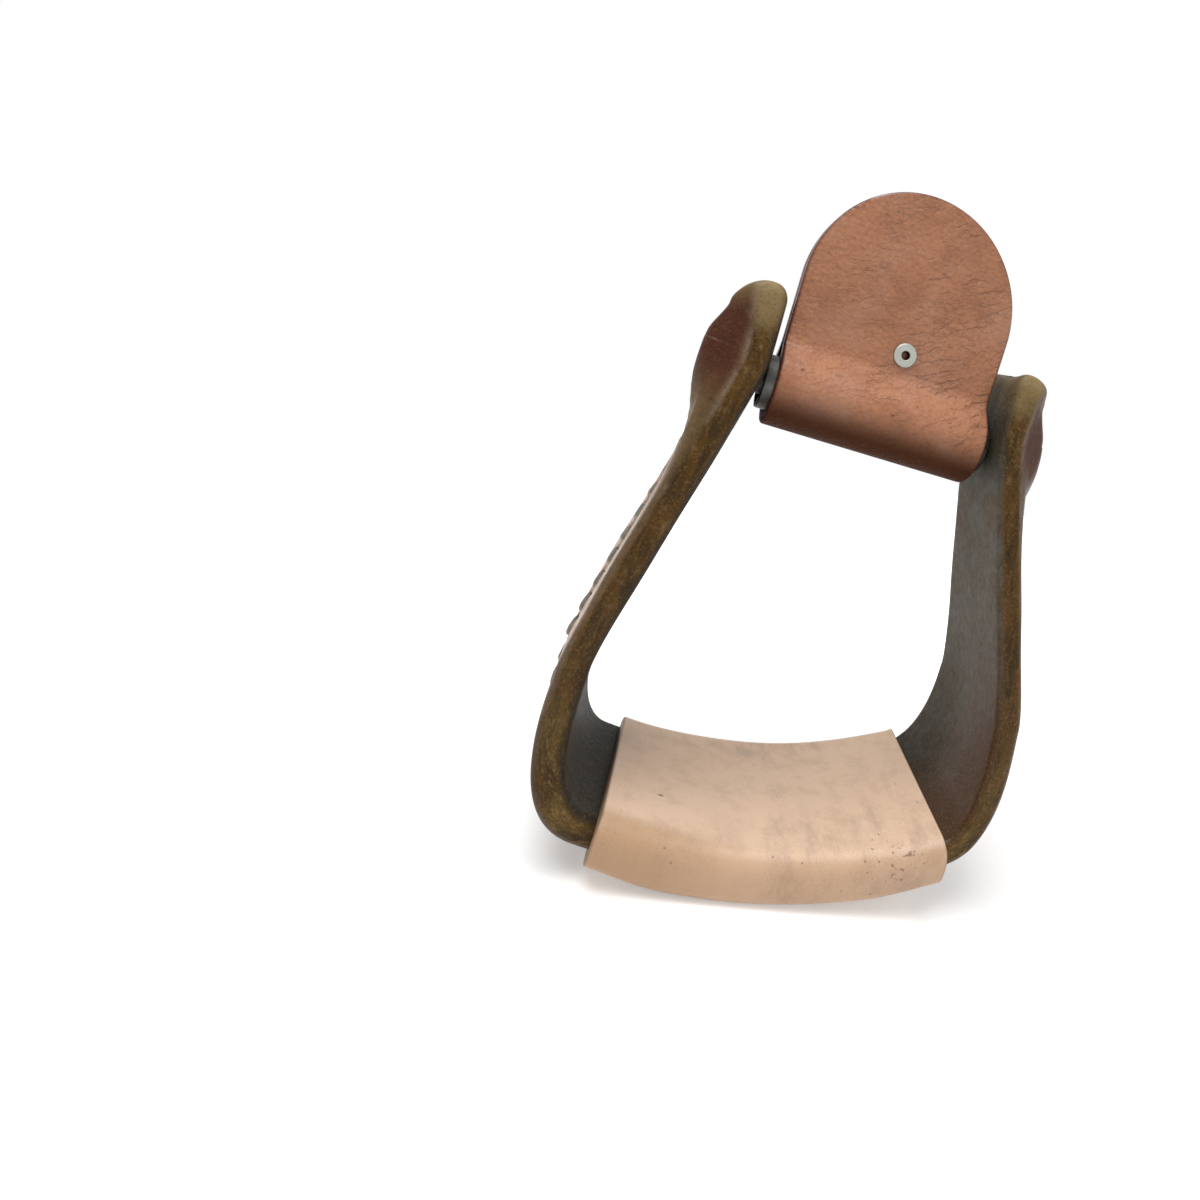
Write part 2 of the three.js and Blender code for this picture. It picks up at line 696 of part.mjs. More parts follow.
const stirrup = new THREE.Group();
stirrup.name = "roper_stirrup";

const frame = new THREE.Group();
frame.add(piece("wood_core", geometryOf(makeWood()), finish.wood));
frame.add(piece("rawhide_cover", geometryOf(makeHide()), finish.rawhide));
frame.add(piece("left_lacing", makeLace(false), finish.thong));
frame.add(piece("right_lacing", makeLace(true), finish.thong));
frame.add(piece("tread_cover", geometryOf(makeCover()), finish.tread));
frame.add(piece("tread_tie_left", geometryOf(makeTie(-1)), finish.tread));
frame.add(piece("tread_tie_right", geometryOf(makeTie(1)), finish.tread));
stirrup.add(frame);

const boltLine = new THREE.Group();
boltLine.position.z = boltZ;
boltLine.add(piece("stirrup_bolt", makeBolt(), finish.steel));
boltLine.add(piece("bolt_washer", makeWasher(), finish.steel));
boltLine.add(piece("bolt_nut", geometryOf(makeNut()), finish.steel));
stirrup.add(boltLine);

const roller = new THREE.Group();
roller.position.copy(boltLine.position);
roller.add(piece("roller_tube", makeTube(), finish.steel));
roller.add(piece("roller_leather", geometryOf(makeStrap()), finish.russet));
roller.add(piece("tab_rivet", makeRivet(), finish.rivet));
roller.add(piece("rivet_washer", makeBurr(), finish.rivet));
stirrup.add(roller);

// The cover's flat underside is at height zero
stirrup.position.z = -place(bowMiddle - restHalfSpan, 0, coverFloor).z;

export default stirrup;
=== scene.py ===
"""Looks of a roper stirrup: a bow under laced rawhide, a tread cover and a roller with its leather tab."""

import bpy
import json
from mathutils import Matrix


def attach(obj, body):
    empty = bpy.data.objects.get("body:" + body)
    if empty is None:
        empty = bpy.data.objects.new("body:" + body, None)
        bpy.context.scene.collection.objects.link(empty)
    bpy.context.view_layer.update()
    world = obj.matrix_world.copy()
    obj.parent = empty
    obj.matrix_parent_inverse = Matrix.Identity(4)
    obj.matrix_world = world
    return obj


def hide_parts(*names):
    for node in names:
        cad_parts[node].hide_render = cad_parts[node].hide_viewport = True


bl_info = {
    "name": "Roper stirrup",
    "version": (1, 0, 0),
    "blender": (4, 5, 0),
    "location": "3D View > Sidebar > Stirrup",
    "description": "Rawhide roper stirrup with laced legs, a leather tread cover and a leather roller tab",
    "category": "Add Mesh",
}

import json

import bmesh
import bpy
import numpy as np
from bpy.props import FloatProperty, FloatVectorProperty, PointerProperty
from bpy.types import Operator, Panel, PropertyGroup
from mathutils import Euler

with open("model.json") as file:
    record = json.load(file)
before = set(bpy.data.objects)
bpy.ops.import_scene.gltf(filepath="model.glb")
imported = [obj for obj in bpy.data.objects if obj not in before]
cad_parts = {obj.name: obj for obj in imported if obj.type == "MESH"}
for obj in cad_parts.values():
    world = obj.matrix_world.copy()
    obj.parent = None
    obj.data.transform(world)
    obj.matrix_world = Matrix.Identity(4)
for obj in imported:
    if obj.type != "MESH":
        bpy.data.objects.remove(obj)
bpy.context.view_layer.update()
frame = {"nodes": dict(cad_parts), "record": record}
AXIS_Z = frame["record"]["behaviour"]["joints"][0]["pos_m"][2]
MM = 0.001

# How far the bolt's head and nut lift the rawhide, and their radii, which lift it further where a leg leans
HEAD_RISE, HEAD_RADIUS = 2.94 * MM, 5.25 * MM
NUT_RISE, NUT_RADIUS = 3.64 * MM, 7.15 * MM

# Heights between which the lean of the lower part fades away
LEAN_LOW, LEAN_HIGH = 30 * MM, 150 * MM

# Relief of the rawhide: the laced zone, the hollow along the seam, the teardrop holes and slow waves
LACED_ZONE = 11 * MM
HOLLOW_REACH = 8 * MM
HOLE_LENGTH, HOLE_WIDTH, HOLE_DEPTH, HOLE_OFFSET = 2.3 * MM, 2.2 * MM, 2.1 * MM, 0.9 * MM
RIM_HEIGHT = 0.32 * MM
WAVE_HEIGHT = 0.16 * MM

# How far under the rawhide's face a lace runs behind it, how far over the face it crosses the seam, and how
# much its edges curl down
LACE_SUNK, LACE_RAISED, LACE_CURL = 2.52 * MM, 0.7 * MM, 0.22 * MM

# How far a tie's middle stands off the cover, and how far below the cover its knot's middle hangs
TIE_OFF, KNOT_DROP = 0.92 * MM, 1.9 * MM

# How far below the arch's highest point the two plies of the tab end
TIP_TRIM = 0.02 * MM


def length(name, millimetres, description):
    """A size of the stirrup, given in millimetres and kept in metres."""
    return FloatProperty(
        name=name, description=description, default=millimetres * MM, min=0, precision=4, unit="LENGTH"
    )


def colour(name, code, description):
    """A colour given by its six-figure code as seen on a screen, kept as linear light."""
    seen = [int(code[i : i + 2], 16) / 255 for i in (0, 2, 4)]
    light = [v / 12.92 if v <= 0.04045 else ((v + 0.055) / 1.055) ** 2.4 for v in seen]
    return FloatVectorProperty(
        name=name, description=description, default=light, size=3, min=0, max=1, subtype="COLOR"
    )


class StirrupSizes(PropertyGroup):
    """Sizes of the stirrup's pieces."""

    roller_gap: length("Gap at the roller", 85.5, "Clear width between the legs at the roller")
    foot_width: length("Foot width", 140.8, "Widest clear width between the legs")
    leg_height: length("Leg height", 188, "From under the middle of the tread to the leg tops")
    neck_length: length("Neck length", 20, "Straight length at the leg tops")
    neck_pull: length("Neck pull", 12, "How slowly the neck turns outwards")
    widest_height: length("Widest height", 62, "Where the legs stand widest apart")
    leg_pull: length("Leg pull", 12, "How slowly the leg comes upright there")
    corner_pull: length("Corner pull", 6, "Upright pull on the bottom corner")
    tread_pull: length("Tread pull", 20, "Level pull on the bottom corner")
    tread_half: length("Half tread", 61, "From the middle of the tread to where the corner starts")
    tread_bow: length("Tread bow", 9.8, "How far the middle of the tread hangs below its ends")
    neck_depth: length("Neck depth", 31, "Front to back at the leg tops")
    tread_depth: length("Tread depth", 73, "Front to back at the tread")
    taper_start: length("Taper start", 20, "Height above which the legs narrow")
    top_dip: length("Top dip", 1.8, "How far the middle of a leg top lies below its two corners")
    skew: length("Skew", 3.5, "How far the left bottom corner hangs down, and the right one up, in front")
    twist: length("Twist", 3.9, "How much further those corners hang down and up at the back")
    hide_half: length("Half leg thickness", 4.9, "From the middle of the wood out to the rawhide's face")
    hide_corner: length("Hide corner", 3.2, "Radius along the four long edges")
    seam_hollow: length("Seam hollow", 0.8, "How far the laces pull the rawhide in along the seam")
    seam_depth: length("Seam depth", 2.6, "How deep the slit between the two edges of the rawhide is")
    lace_width: length("Lace width", 5.3, "Width of a strand")
    lace_thickness: length("Lace thickness", 1.2, "Thickness of a strand")
    lace_pitch: length("Lace pitch", 8.3, "From one strand to the next")
    lace_lean: length("Lace lean", 2, "How far a strand climbs as it crosses the seam")
    lace_start: length("Lace start", 8.5, "First hole below the leg top")
    lace_row: length("Lace row", 6.5, "From the seam to each row of holes")
    lace_arch: length("Lace arch", 0.35, "How far a strand bows up over the seam")
    bolt_drop: length("Bolt drop", 27.5, "From the leg tops down to the bolt")
    bulge_length: length("Bulge length", 26, "From the bolt to the raised rawhide's end, along the leg")
    bulge_width: length("Bulge width", 9.4, "From the strands to the raised rawhide's end, sideways")
    hump_left: length("Left hump", 8.4, "How far the hide swells in front of the left lacing")
    hump_right: length("Right hump", 5.5, "How far the hide swells in front of the right lacing")
    hump_drop: length("Hump drop", 17, "From the leg tops down to the middle of the swelling")
    hump_length: length("Hump length", 34, "Half length of the swelling")
    top_rounding: length("Top rounding", 5, "Height of the rounded leg tops")
    top_swell: length("Top swell", 2.6, "How much thicker the leg tops are")
    top_rise: length("Top rise", 4, "How far the rounded leg tops stand above the wood")
    tube_diameter: length("Tube diameter", 19, "Outside diameter of the roller tube")
    tube_bore: length("Tube bore", 15.4, "Inside diameter of the roller tube")
    roller_reach: length("Roller reach", 42.3, "From the middle to either end of the tube")
    tab_width: length("Tab width", 78, "Width of the roller leather")
    tab_height: length("Tab height", 78, "From the bolt to the top of the tab")
    ply_thickness: length("Ply thickness", 4.4, "Thickness of the roller leather")
    ply_slit: length("Ply slit", 0.3, "Between the two plies of the tab")
    ply_meeting: length("Ply meeting", 18, "Height above the bolt where the plies come together")
    rivet_height: length("Rivet height", 23.4, "From the bolt up to the rivet")
    rivet_offset: length("Rivet offset", 2.8, "From the middle to the rivet")
    rivet_head: length("Rivet head", 8.6, "Diameter of the rivet's head")
    cover_thickness: length("Cover thickness", 3.3, "Thickness of the tread leather")
    cover_left: length("Cover to the left", 57.5, "From the middle to the left end, along the tread")
    cover_right: length("Cover to the right", 66.5, "From the middle to the right end, along the tread")
    cover_tuck: FloatProperty(
        name="Cover tuck",
        description="How much shorter the cover is underneath, as a share",
        default=0.06,
        min=0,
    )
    cover_slant: length("Cover slant", 1.5, "How far the cover's back is shifted right, and its front left")
    cover_cling: length("Cover cling", 1.8, "How much closer the cover lies under the tread at its ends")
    cover_air: length("Cover air", 0.3, "Between the rawhide and the cover on top of the tread")
    cover_overhang: length("Cover overhang", 2, "Air between the tread's edges and the cover's folds")
    cover_room: length("Cover room", 7.22, "From the middle of the wood down to the inside of the cover")
    fold_radius: length("Fold radius", 7, "Outside radius of the cover's folds")
    seam_setback: length("Seam setback", 15, "From the tread's front edge back to the cover's seam")
    cover_gap: length("Cover gap", 2, "Between the two edges of the cover, underneath")
    rest_half: length("Half rest", 6, "Half of the flat that the stirrup stands on")
    tie_offset: length("Tie offset", 45, "From the middle to each tie")
    tie_width: length("Tie width", 4.8, "Width of a tie")
    tie_reach: length("Tie reach", 6, "From the cover's seam to each slot of a tie")


class StirrupColours(PropertyGroup):
    """Colours of the stirrup's leathers and metals."""

    hide_outer: colour("Outer hide", "8d6136", "Varnished rawhide on the outer faces")
    hide_light: colour("Light hide", "ad865e", "Paler patches of the outer faces")
    # Real darker patches and mottling, and also painted shade beside the outer faces' long edges and low
    # down
    hide_dark_and_shade: colour("Dark hide", "38260b", "Darker patches and long edges")
    hide_edge: colour("Hide edge", "563a12", "Rawhide along the front and back edges")
    # Painted grey sheen over the rawhide of the inner faces
    hide_inner_sheen: colour("Inner hide", "67635a", "Rawhide on the inner faces")
    hide_fibre: colour("Hide fibres", "98804a", "Pale fibres in the rawhide")
    hide_top: colour("Hide top", "9c865e", "Folded rawhide on the leg tops")
    hide_stain: colour("Hide stain", "4a2213", "Maroon stain near the leg tops")
    hide_foot: colour("Hide foot", "4a2f17", "Brown foot of the right inner face")
    # Painted highlight along the ridge of the outer edges
    hide_ridge_highlight: colour("Rubbed ridge", "8a7662", "Rubbed ridge along the outer edges")
    # Olive brown painted as shade on the front of the swelling
    hide_swell_shade: colour("Swollen hide", "57452b", "Hide over the swelling in front of the lacing")
    # Real dark flecks, blotches and dirt, and also painted shade in the holes, the slit, the rivet's hole
    # and on shaded inner faces
    hide_soil_and_shade: colour("Soil", "1d1710", "Dirt in holes and in the seam")
    hide_rim: colour("Hole rims", "b38a5c", "Raised rims of the lace holes")
    thong: colour("Thong", "7f7566", "Grain of the laces")
    thong_dark: colour("Dark thong", "423c33", "Shaded and greasy parts of the laces")
    thong_edge: colour("Thong edge", "b0a592", "Worn lower edges of the laces")
    tread: colour("Tread leather", "e6c5a8", "Pale tan of the tread cover")
    tread_smudge: colour("Tread smudge", "a88d7c", "Grey-mauve smudges")
    # Handled patches, and painted shade on the front of the tread cover
    tread_front_shade_and_handling: colour("Tread front", "b7906b", "Handled front fold of the tread cover")
    tread_speck: colour("Tread speck", "6e4a35", "Specks and marks")
    tread_cut: colour("Tread cut edge", "7b604a", "Cut edges of the tread cover")
    russet: colour("Russet leather", "b37c5d", "Roller leather")
    russet_dark: colour("Dark russet", "9c694e", "Darker patches of the roller leather")
    russet_crease: colour("Russet crease", "6e402b", "Fine creases")
    # Painted shade on the leather round the tube
    russet_roll_shade: colour("Roll leather", "4a2812", "Soiled leather round the tube")
    russet_edge: colour("Russet edge", "57291f", "Dyed edges of the roller leather")
    steel: colour("Galvanised steel", "5a5956", "Roller tube, bolt, nut and washer")
    aluminium: colour("Aluminium", "a9aba4", "Rivet and its washer")
    wood: colour("Wood", "b58d5c", "Bent wood inside the rawhide")
    wood_dark: colour("Dark wood", "8a6238", "Late rings of the wood")


class StirrupStage(PropertyGroup):
    """Camera, lamps and floor."""

    camera_place: FloatVectorProperty(
        name="Camera place",
        description="Where the camera stands",
        default=(-0.070209, -0.251988, 0.161625),
        unit="LENGTH",
    )
    camera_turn: FloatVectorProperty(
        name="Camera turn",
        description="How the camera is turned",
        default=tuple(np.radians((84.535, -17.324, -16.311))),
        subtype="EULER",
    )
    camera_lens: FloatProperty(
        name="Lens", description="Focal length in millimetres", default=21.628, min=1
    )
    camera_shift: FloatVectorProperty(
        name="Shift", description="Shift of the picture", default=(-0.23333, -0.08333), size=2
    )
    key_power: FloatProperty(
        name="Key lamp", description="Power of the large lamp", default=9.7, min=0, unit="POWER"
    )
    fill_power: FloatProperty(
        name="Fill lamp", description="Power of the side lamp", default=1.2, min=0, unit="POWER"
    )
    sky_level: FloatProperty(
        name="Sky level", description="Brightness of the surroundings", default=0.36, min=0
    )


def smoothstep(value, low, high):
    """Rises from 0 at low to 1 at high along 3 t^2 - 2 t^3."""
    t = np.clip((value - low) / (high - low), 0, 1)
    return t * t * (3 - 2 * t)


def bezier(corners, count=240):
    """A cubic curve: each of the four points weighted by (1-t)^3, 3 (1-t)^2 t, 3 (1-t) t^2 and t^3."""
    t = np.linspace(0, 1, count)[:, None]
    a, b, c, d = np.array(corners)
    return (1 - t) ** 3 * a + 3 * (1 - t) ** 2 * t * b + 3 * (1 - t) * t**2 * c + t**3 * d


def evenly(points, count):
    """Points at equal distances along a line of points."""
    steps = np.hypot(*np.diff(points, axis=0).T)
    travelled = np.r_[0, np.cumsum(steps)]
    stops = np.linspace(0, travelled[-1], count)
    return np.stack([np.interp(stops, travelled, column) for column in points.T], axis=1), stops


def unit(vectors):
    """A row of vectors, each divided by its length."""
    return vectors / np.linalg.norm(vectors, axis=1)[:, None]


def squared(wave, power):
    """A cosine or sine to a power below 1, its sign kept, which turns a circle into a rounded square."""
    return np.sign(wave) * np.abs(wave) ** power


class Bow:
    """The middle line of the bent bow, from the left leg's top round the tread to the right leg's top."""

    def __init__(self, size):
        self.size = size
        neck_x = size.roller_gap / 2 + size.hide_half
        widest_x = size.foot_width / 2 + size.hide_half
        neck_end = size.leg_height - size.neck_length
        slope = np.arctan2(2 * size.tread_bow, size.tread_half)
        outwards = np.array((np.cos(slope), np.sin(slope)))
        tread_end = np.array((size.tread_half, size.hide_half + size.tread_bow))
        third = size.tread_half / 3
        neck = np.linspace((neck_x, size.leg_height), (neck_x, neck_end), 60)
        flare = [
            (neck_x, neck_end),
            (neck_x, neck_end - size.neck_pull),
            (widest_x, size.widest_height + size.leg_pull),
            (widest_x, size.widest_height),
        ]
        corner = [
            (widest_x, size.widest_height),
            (widest_x, size.widest_height - size.corner_pull),
            tread_end + outwards * size.tread_pull,
            tread_end,
        ]
        tread = [tread_end, tread_end - outwards * third, (third, size.hide_half), (0, size.hide_half)]
        side = np.vstack([neck, bezier(flare)[1:], bezier(corner)[1:], bezier(tread)[1:]])
        self.line, self.s = evenly(np.vstack([side * (-1, 1), side[-2::-1]]), 4001)
        self.length = self.s[-1]
        self.middle = self.length / 2
        self.along = unit(np.gradient(self.line, axis=0))
        # The lift that puts the flat under the tread at z = 0 is found before the bow leans
        self.lift, self.skew, self.twist = 0.0, 0.0, 0.0
        under_cover = size.cover_room + size.cover_thickness
        self.lift = -self.place(self.middle - size.rest_half, 0, under_cover)[2]
        self.skew, self.twist = size.skew / widest_x, size.twist / widest_x
        lean = abs(np.interp(size.bolt_drop, self.s, self.along[:, 0]))
        self.bolt_rise = (HEAD_RISE + lean * HEAD_RADIUS, NUT_RISE + lean * NUT_RADIUS)

    def look_up(self, s, table):
        return np.interp(s, self.s, table)

    def half_depth(self, s):
        """Half of the depth, which falls evenly from the tread's to the neck's above the taper's start."""
        size = self.size
        z = self.look_up(s, self.line[:, 1])
        share = np.clip((z - size.taper_start) / (size.leg_height - size.taper_start), 0, 1)
        return (size.tread_depth + (size.neck_depth - size.tread_depth) * share) / 2

    def bulge(self, s, y):
        """Height of the rawhide over its plain face.

        Over the bolt's ends it falls as 3 t^2 - 2 t^3 of the distance from them. The swelling in front of
        the lacing is added, and exp(-d^2) of the distance from the seam is taken off.
        """
        size = self.size
        beside = np.maximum(0, np.abs(y) - size.lace_row - size.lace_thickness / 2)
        total = 0
        for rise, centre in zip(self.bolt_rise, (size.bolt_drop, self.length - size.bolt_drop)):
            away = np.hypot((s - centre) / size.bulge_length, beside / size.bulge_width)
            total = total + rise * (1 - smoothstep(away, 0.3, 1))
        return total + self.hump(s, y) - size.seam_hollow * np.exp(-((y / HOLLOW_REACH) ** 2))

    def hump(self, s, y):
        """The swelling in front of the lacing.

        It is exp(-d^2) of the distance along the leg, and rises smoothly between the strands and the front
        edge and below the leg top.
        """
        size = self.size
        from_edge = self.half_depth(s) + y
        across = smoothstep(-y, 5.5 * MM, 10 * MM) * smoothstep(from_edge, 0.2 * MM, 6.5 * MM)
        below = np.minimum(s, self.length - s)
        most = np.where(s < self.middle, size.hump_left, size.hump_right)
        along = np.exp(-(((below - size.hump_drop) / size.hump_length) ** 2))
        along = along * smoothstep(below, -8 * MM, 18 * MM)
        return across * most * along

    def place(self, s, y, out):
        """The middle line at s, moved outwards along its normal (along.z, -along.x), with y as it is.

        The lower part leans and twists as a hand-bent bow does: z grows by
        (skew + twist * (1/2 + y / depth)) * x, less and less from one height to another.
        """
        s, y, out = np.broadcast_arrays(s, y, out)
        inside = np.clip(s, 0, self.length)
        beyond = s - inside
        x, z, ax, az = (
            self.look_up(inside, table)
            for table in (self.line[:, 0], self.line[:, 1], self.along[:, 0], self.along[:, 1])
        )
        x = x + ax * beyond + az * out
        z = z + az * beyond - ax * out + self.lift
        lean = self.skew + self.twist * (0.5 + y / self.size.tread_depth)
        return np.stack([x, y, z + lean * x * (1 - smoothstep(z, LEAN_LOW, LEAN_HIGH))], axis=-1)


def ring_faces(rows, columns, first=0):
    """Four-sided faces between neighbouring closed rings."""
    start = np.arange(rows - 1)[:, None] * columns + first
    here = np.arange(columns)[None, :]
    ahead = (here + 1) % columns
    corners = (start + here, start + ahead, start + columns + ahead, start + columns + here)
    return np.stack(corners, -1).reshape(-1, 4)


def wrap_faces(rows, columns):
    """Faces from the last ring back to the first."""
    here = np.arange(columns)
    ahead = (here + 1) % columns
    last = (rows - 1) * columns
    return np.stack([last + here, last + ahead, ahead, here], -1)


def fan_faces(rows, columns):
    """Triangles that close the first and last ring round two middle points, which follow the rings."""
    here = np.arange(columns)
    ahead = (here + 1) % columns
    hub = rows * columns
    last = (rows - 1) * columns
    first_fan = np.stack([np.full(columns, hub), ahead, here], -1)
    last_fan = np.stack([np.full(columns, hub + 1), last + here, last + ahead], -1)
    return np.vstack([first_fan, last_fan])


def make_piece(name, points, faces, body, uv=None, masks=None):
    """Turns points and faces into a smooth mesh object whose faces point outwards, riding on a body."""
    mesh = bpy.data.meshes.new(name)
    corners = [face for group in faces for face in group.tolist()]
    mesh.from_pydata(points.reshape(-1, 3).tolist(), [], corners)
    for label, values in (masks or {}).items():
        layer = mesh.attributes.new(label, "FLOAT", "POINT")
        layer.data.foreach_set("value", np.ascontiguousarray(values, np.float32).ravel())
    if uv is not None:
        corner = np.empty(len(mesh.loops), np.int32)
        mesh.loops.foreach_get("vertex_index", corner)
        layer = mesh.uv_layers.new(name="surface")
        layer.data.foreach_set("uv", uv.reshape(-1, 2)[corner].astype(np.float32).ravel())
    shell = bmesh.new()
    shell.from_mesh(mesh)
    bmesh.ops.recalc_face_normals(shell, faces=shell.faces)
    shell.to_mesh(mesh)
    shell.free()
    mesh.shade_smooth()
    piece = bpy.data.objects.new(name, mesh)
    bpy.context.scene.collection.objects.link(piece)
    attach(piece, body)
    return piece


def closed_sweep(name, rings, body, uv=None, masks=None):
    """A row of closed rings, with both ends closed by fans round their middles."""
    rows, columns = rings.shape[:2]
    hubs = rings[[0, -1]].mean(axis=1)
    points = np.vstack([rings.reshape(-1, 3), hubs])
    if uv is not None:
        uv = np.vstack([uv.reshape(-1, 2), uv[[0, -1], 0]])
    full = {}
    for label, values in (masks or {}).items():
        full[label] = np.r_[np.broadcast_to(values, (rows, columns)).ravel(), np.zeros(2)]
    faces = (ring_faces(rows, columns), fan_faces(rows, columns))
    return make_piece(name, points, faces, body, uv, full)


def sheet_faces(rows, columns):
    """Faces of a two-sided sheet: one grid, the other grid turned round, and a wall round their edges."""
    here = np.arange(rows * columns).reshape(rows, columns)
    front = np.stack([here[:-1, :-1], here[:-1, 1:], here[1:, 1:], here[1:, :-1]], -1).reshape(-1, 4)
    rim = np.r_[here[0, :-1], here[:-1, -1], here[-1, :0:-1], here[:0:-1, 0]]
    ahead = np.roll(rim, -1)
    other = rows * columns
    wall = np.stack([rim, rim + other, ahead + other, ahead], -1)
    return np.vstack([front, front[:, ::-1] + other, wall])


def two_sided(name, sides, body, uv, masks):
    """A sheet from its two grids of points, with a wall round their edges and one UV map for both."""
    both = (2, *sides[0].shape[:2])
    full = {label: np.broadcast_to(values, both) for label, values in masks.items()}
    uv = np.broadcast_to(uv, (*both, 2))
    return make_piece(name, np.stack(sides), (sheet_faces(*both[1:]),), body, uv, full)


def half_thickness(thickness, distance, rounding):
    """Half of a sheet's thickness, less r (1 - sqrt(1 - (1 - d/r)^2)) where the edge is d < r away."""
    fall = 1 - np.clip(distance / rounding, 0, 1)
    return thickness / 2 - rounding * (1 - np.sqrt(1 - fall**2))


def lathe(name, profile, centre, axis, body, segments=72):
    """Turns a closed profile of (radius, distance along the axis) round it: radius times cos and sin."""
    angle = np.linspace(0, 2 * np.pi, segments, endpoint=False)
    radius, along = np.array(profile).T
    ring = np.empty((len(profile), segments, 3))
    others = [i for i in range(3) if i != axis]
    ring[..., axis] = along[:, None] + centre[axis]
    ring[..., others[0]] = radius[:, None] * np.cos(angle) + centre[others[0]]
    ring[..., others[1]] = radius[:, None] * np.sin(angle) + centre[others[1]]
    closed = np.concatenate([ring_faces(len(profile), segments), wrap_faces(len(profile), segments)])
    return make_piece(name, ring, (closed,), body)


def stitch_marks(bow):
    """Where each strand crosses the seam, counted from its leg top."""
    size = bow.size
    room = bow.middle - size.lace_start - size.lace_lean - size.lace_width - MM
    return size.lace_start + np.arange(int(room / size.lace_pitch) + 1) * size.lace_pitch


def lace_holes(bow, s, y):
    """Depth of the teardrop holes and height of their rims, 0 to 1, by the distance to the nearest hole."""
    size = bow.size
    from_top = np.minimum(s, bow.length - s)
    lean = np.where(y > 0, size.lace_lean, 0)
    marks = stitch_marks(bow)
    nearest = np.clip(np.round((from_top - lean - marks[0]) / size.lace_pitch), 0, len(marks) - 1)
    along = (from_top - lean - marks[0] - nearest * size.lace_pitch) / HOLE_LENGTH
    across = (np.abs(y) - size.lace_row - HOLE_OFFSET) / HOLE_WIDTH
    across = np.where(across < 0, across * 0.6, across)
    away = np.hypot(along, across)
    rim = np.exp(-(((away - 1.35) / 0.3) ** 2)) * smoothstep(across, -0.2, 0.4)
    return 1 - smoothstep(away, 0.72, 1.05), rim


def half_section(sign, slit_edge):
    """Columns from the slit's edge round one long edge of the rawhide to near its inner face's middle."""
    slit = [
        (slit_edge, 1.0),
        (slit_edge, 0.45),
        (slit_edge + 0.25 * MM, 0.12),
        (slit_edge + 0.7 * MM, 0.0),
    ]
    laced = np.linspace(slit_edge + 1.2 * MM, LACED_ZONE, 18)
    shares = np.linspace(0, 1, 11)[1:]
    corner = np.linspace(0, np.pi / 2, 8)
    columns = [(sign * y, 0, 0, 1, 1, depth) for y, depth in slit]
    columns += [(sign * y, 0, 0, 1, 1, 0) for y in laced]
    columns += [(sign * LACED_ZONE * (1 - share), sign * share, 0, 1, 1, 0) for share in shares]
    columns += [(0, sign, sign * np.sin(turn), 1, np.cos(turn), 0) for turn in corner[1:]]
    columns += [(0, sign, sign, 0.33, 0, 0), (0, sign, sign, -0.33, 0, 0)]
    columns += [(0, sign, sign * np.cos(turn), -1, -np.sin(turn), 0) for turn in corner]
    columns += [(0, sign * share, 0, -1, -1, 0) for share in np.linspace(1, 0, 13)[1:-1]]
    return columns


def hide_columns():
    """Columns of the rawhide's section: from the seam round one edge, the inner face and the other edge.

    A column holds fixed, stretch, turn_y, side, turn_out and slit. Its y is
    fixed + stretch * flat + radius * turn_y, and its out is side * (face - radius) + turn_out * radius,
    less the slit's depth.
    """
    inner_middle = (0, 0, 0, -1, -1, 0)
    return np.array([*half_section(1, 1.0 * MM), inner_middle, *half_section(-1, 2.2 * MM)[::-1]]).T


def hide_rows(bow):
    """Where the rawhide's rings lie along the bow: closer together round the leg tops, as 1 - cos."""
    rounding = bow.size.top_rounding
    ends = rounding * (1 - np.cos(np.linspace(0, np.pi / 2, 12)[:-1]))
    inside = np.linspace(rounding, bow.length - rounding, 715)
    return np.r_[ends, inside, bow.length - ends[::-1]]


def fold_lip(y, from_top):
    """Height of the lip where the leg top's fold ends: exp(-d^2) of the distance from a slanting line."""
    below = from_top - 9 * MM + (np.abs(y) - 7 * MM) * 0.9
    beside_seam = smoothstep(np.abs(y), 6 * MM, 9 * MM)
    return np.exp(-((below / (1.5 * MM)) ** 2)) * beside_seam * np.where(y < 0, 0.7, 0.45) * MM


def hide_relief(bow, s, y, turn_out, slit, dome):
    """How far the rawhide stands out from its plain section, and the masks of its faces, holes, and the
    dirt and shade beside the seam.

    Added up are the bulge over the bolt, exp(-d^2) of the distance from a leg top, the slit, the holes with
    their rims, slow waves of sines and the lip of each fold.
    """
    size = bow.size
    from_top = np.minimum(s, bow.length - s)
    outer = smoothstep(turn_out, 0.2, 0.95)
    inner = smoothstep(-turn_out, 0.2, 0.95)
    hole, rim = lace_holes(bow, s, y)
    hole = hole * outer
    rim = rim * outer * smoothstep(from_top, 30 * MM, 60 * MM)
    swell = size.top_swell * np.exp(-((from_top / (9 * MM)) ** 2)) * dome
    calm = smoothstep(np.abs(y), 9 * MM, 16 * MM) * outer + inner
    wave = np.sin(s * 71 + 2.0) * np.cos(y * 95 + s * 23) + 0.6 * np.sin(s * 163 + y * 120 + 1.1)
    relief = bow.bulge(s, y) * outer * (0.15 + 0.85 * dome)
    relief = relief + swell * smoothstep(turn_out, -0.6, 0.6)
    relief = relief - slit * size.seam_depth + outer * (RIM_HEIGHT * rim - HOLE_DEPTH * hole)
    relief = relief + calm * wave * WAVE_HEIGHT * np.where(inner > 0.5, -1, 1)
    relief = relief + fold_lip(y, from_top) * outer
    masks = {
        "hole": np.maximum(hole, slit),
        "rim": rim,
        "outer": outer,
        "inner": inner,
        "from_top": from_top / (100 * MM),
        "off_middle": np.abs(y) / bow.half_depth(s),
        # Dirt and painted shade beside the seam, between and under the strands
        "soil": outer * (1 - smoothstep(np.abs(y), 5 * MM, 12 * MM)),
    }
    return relief, masks


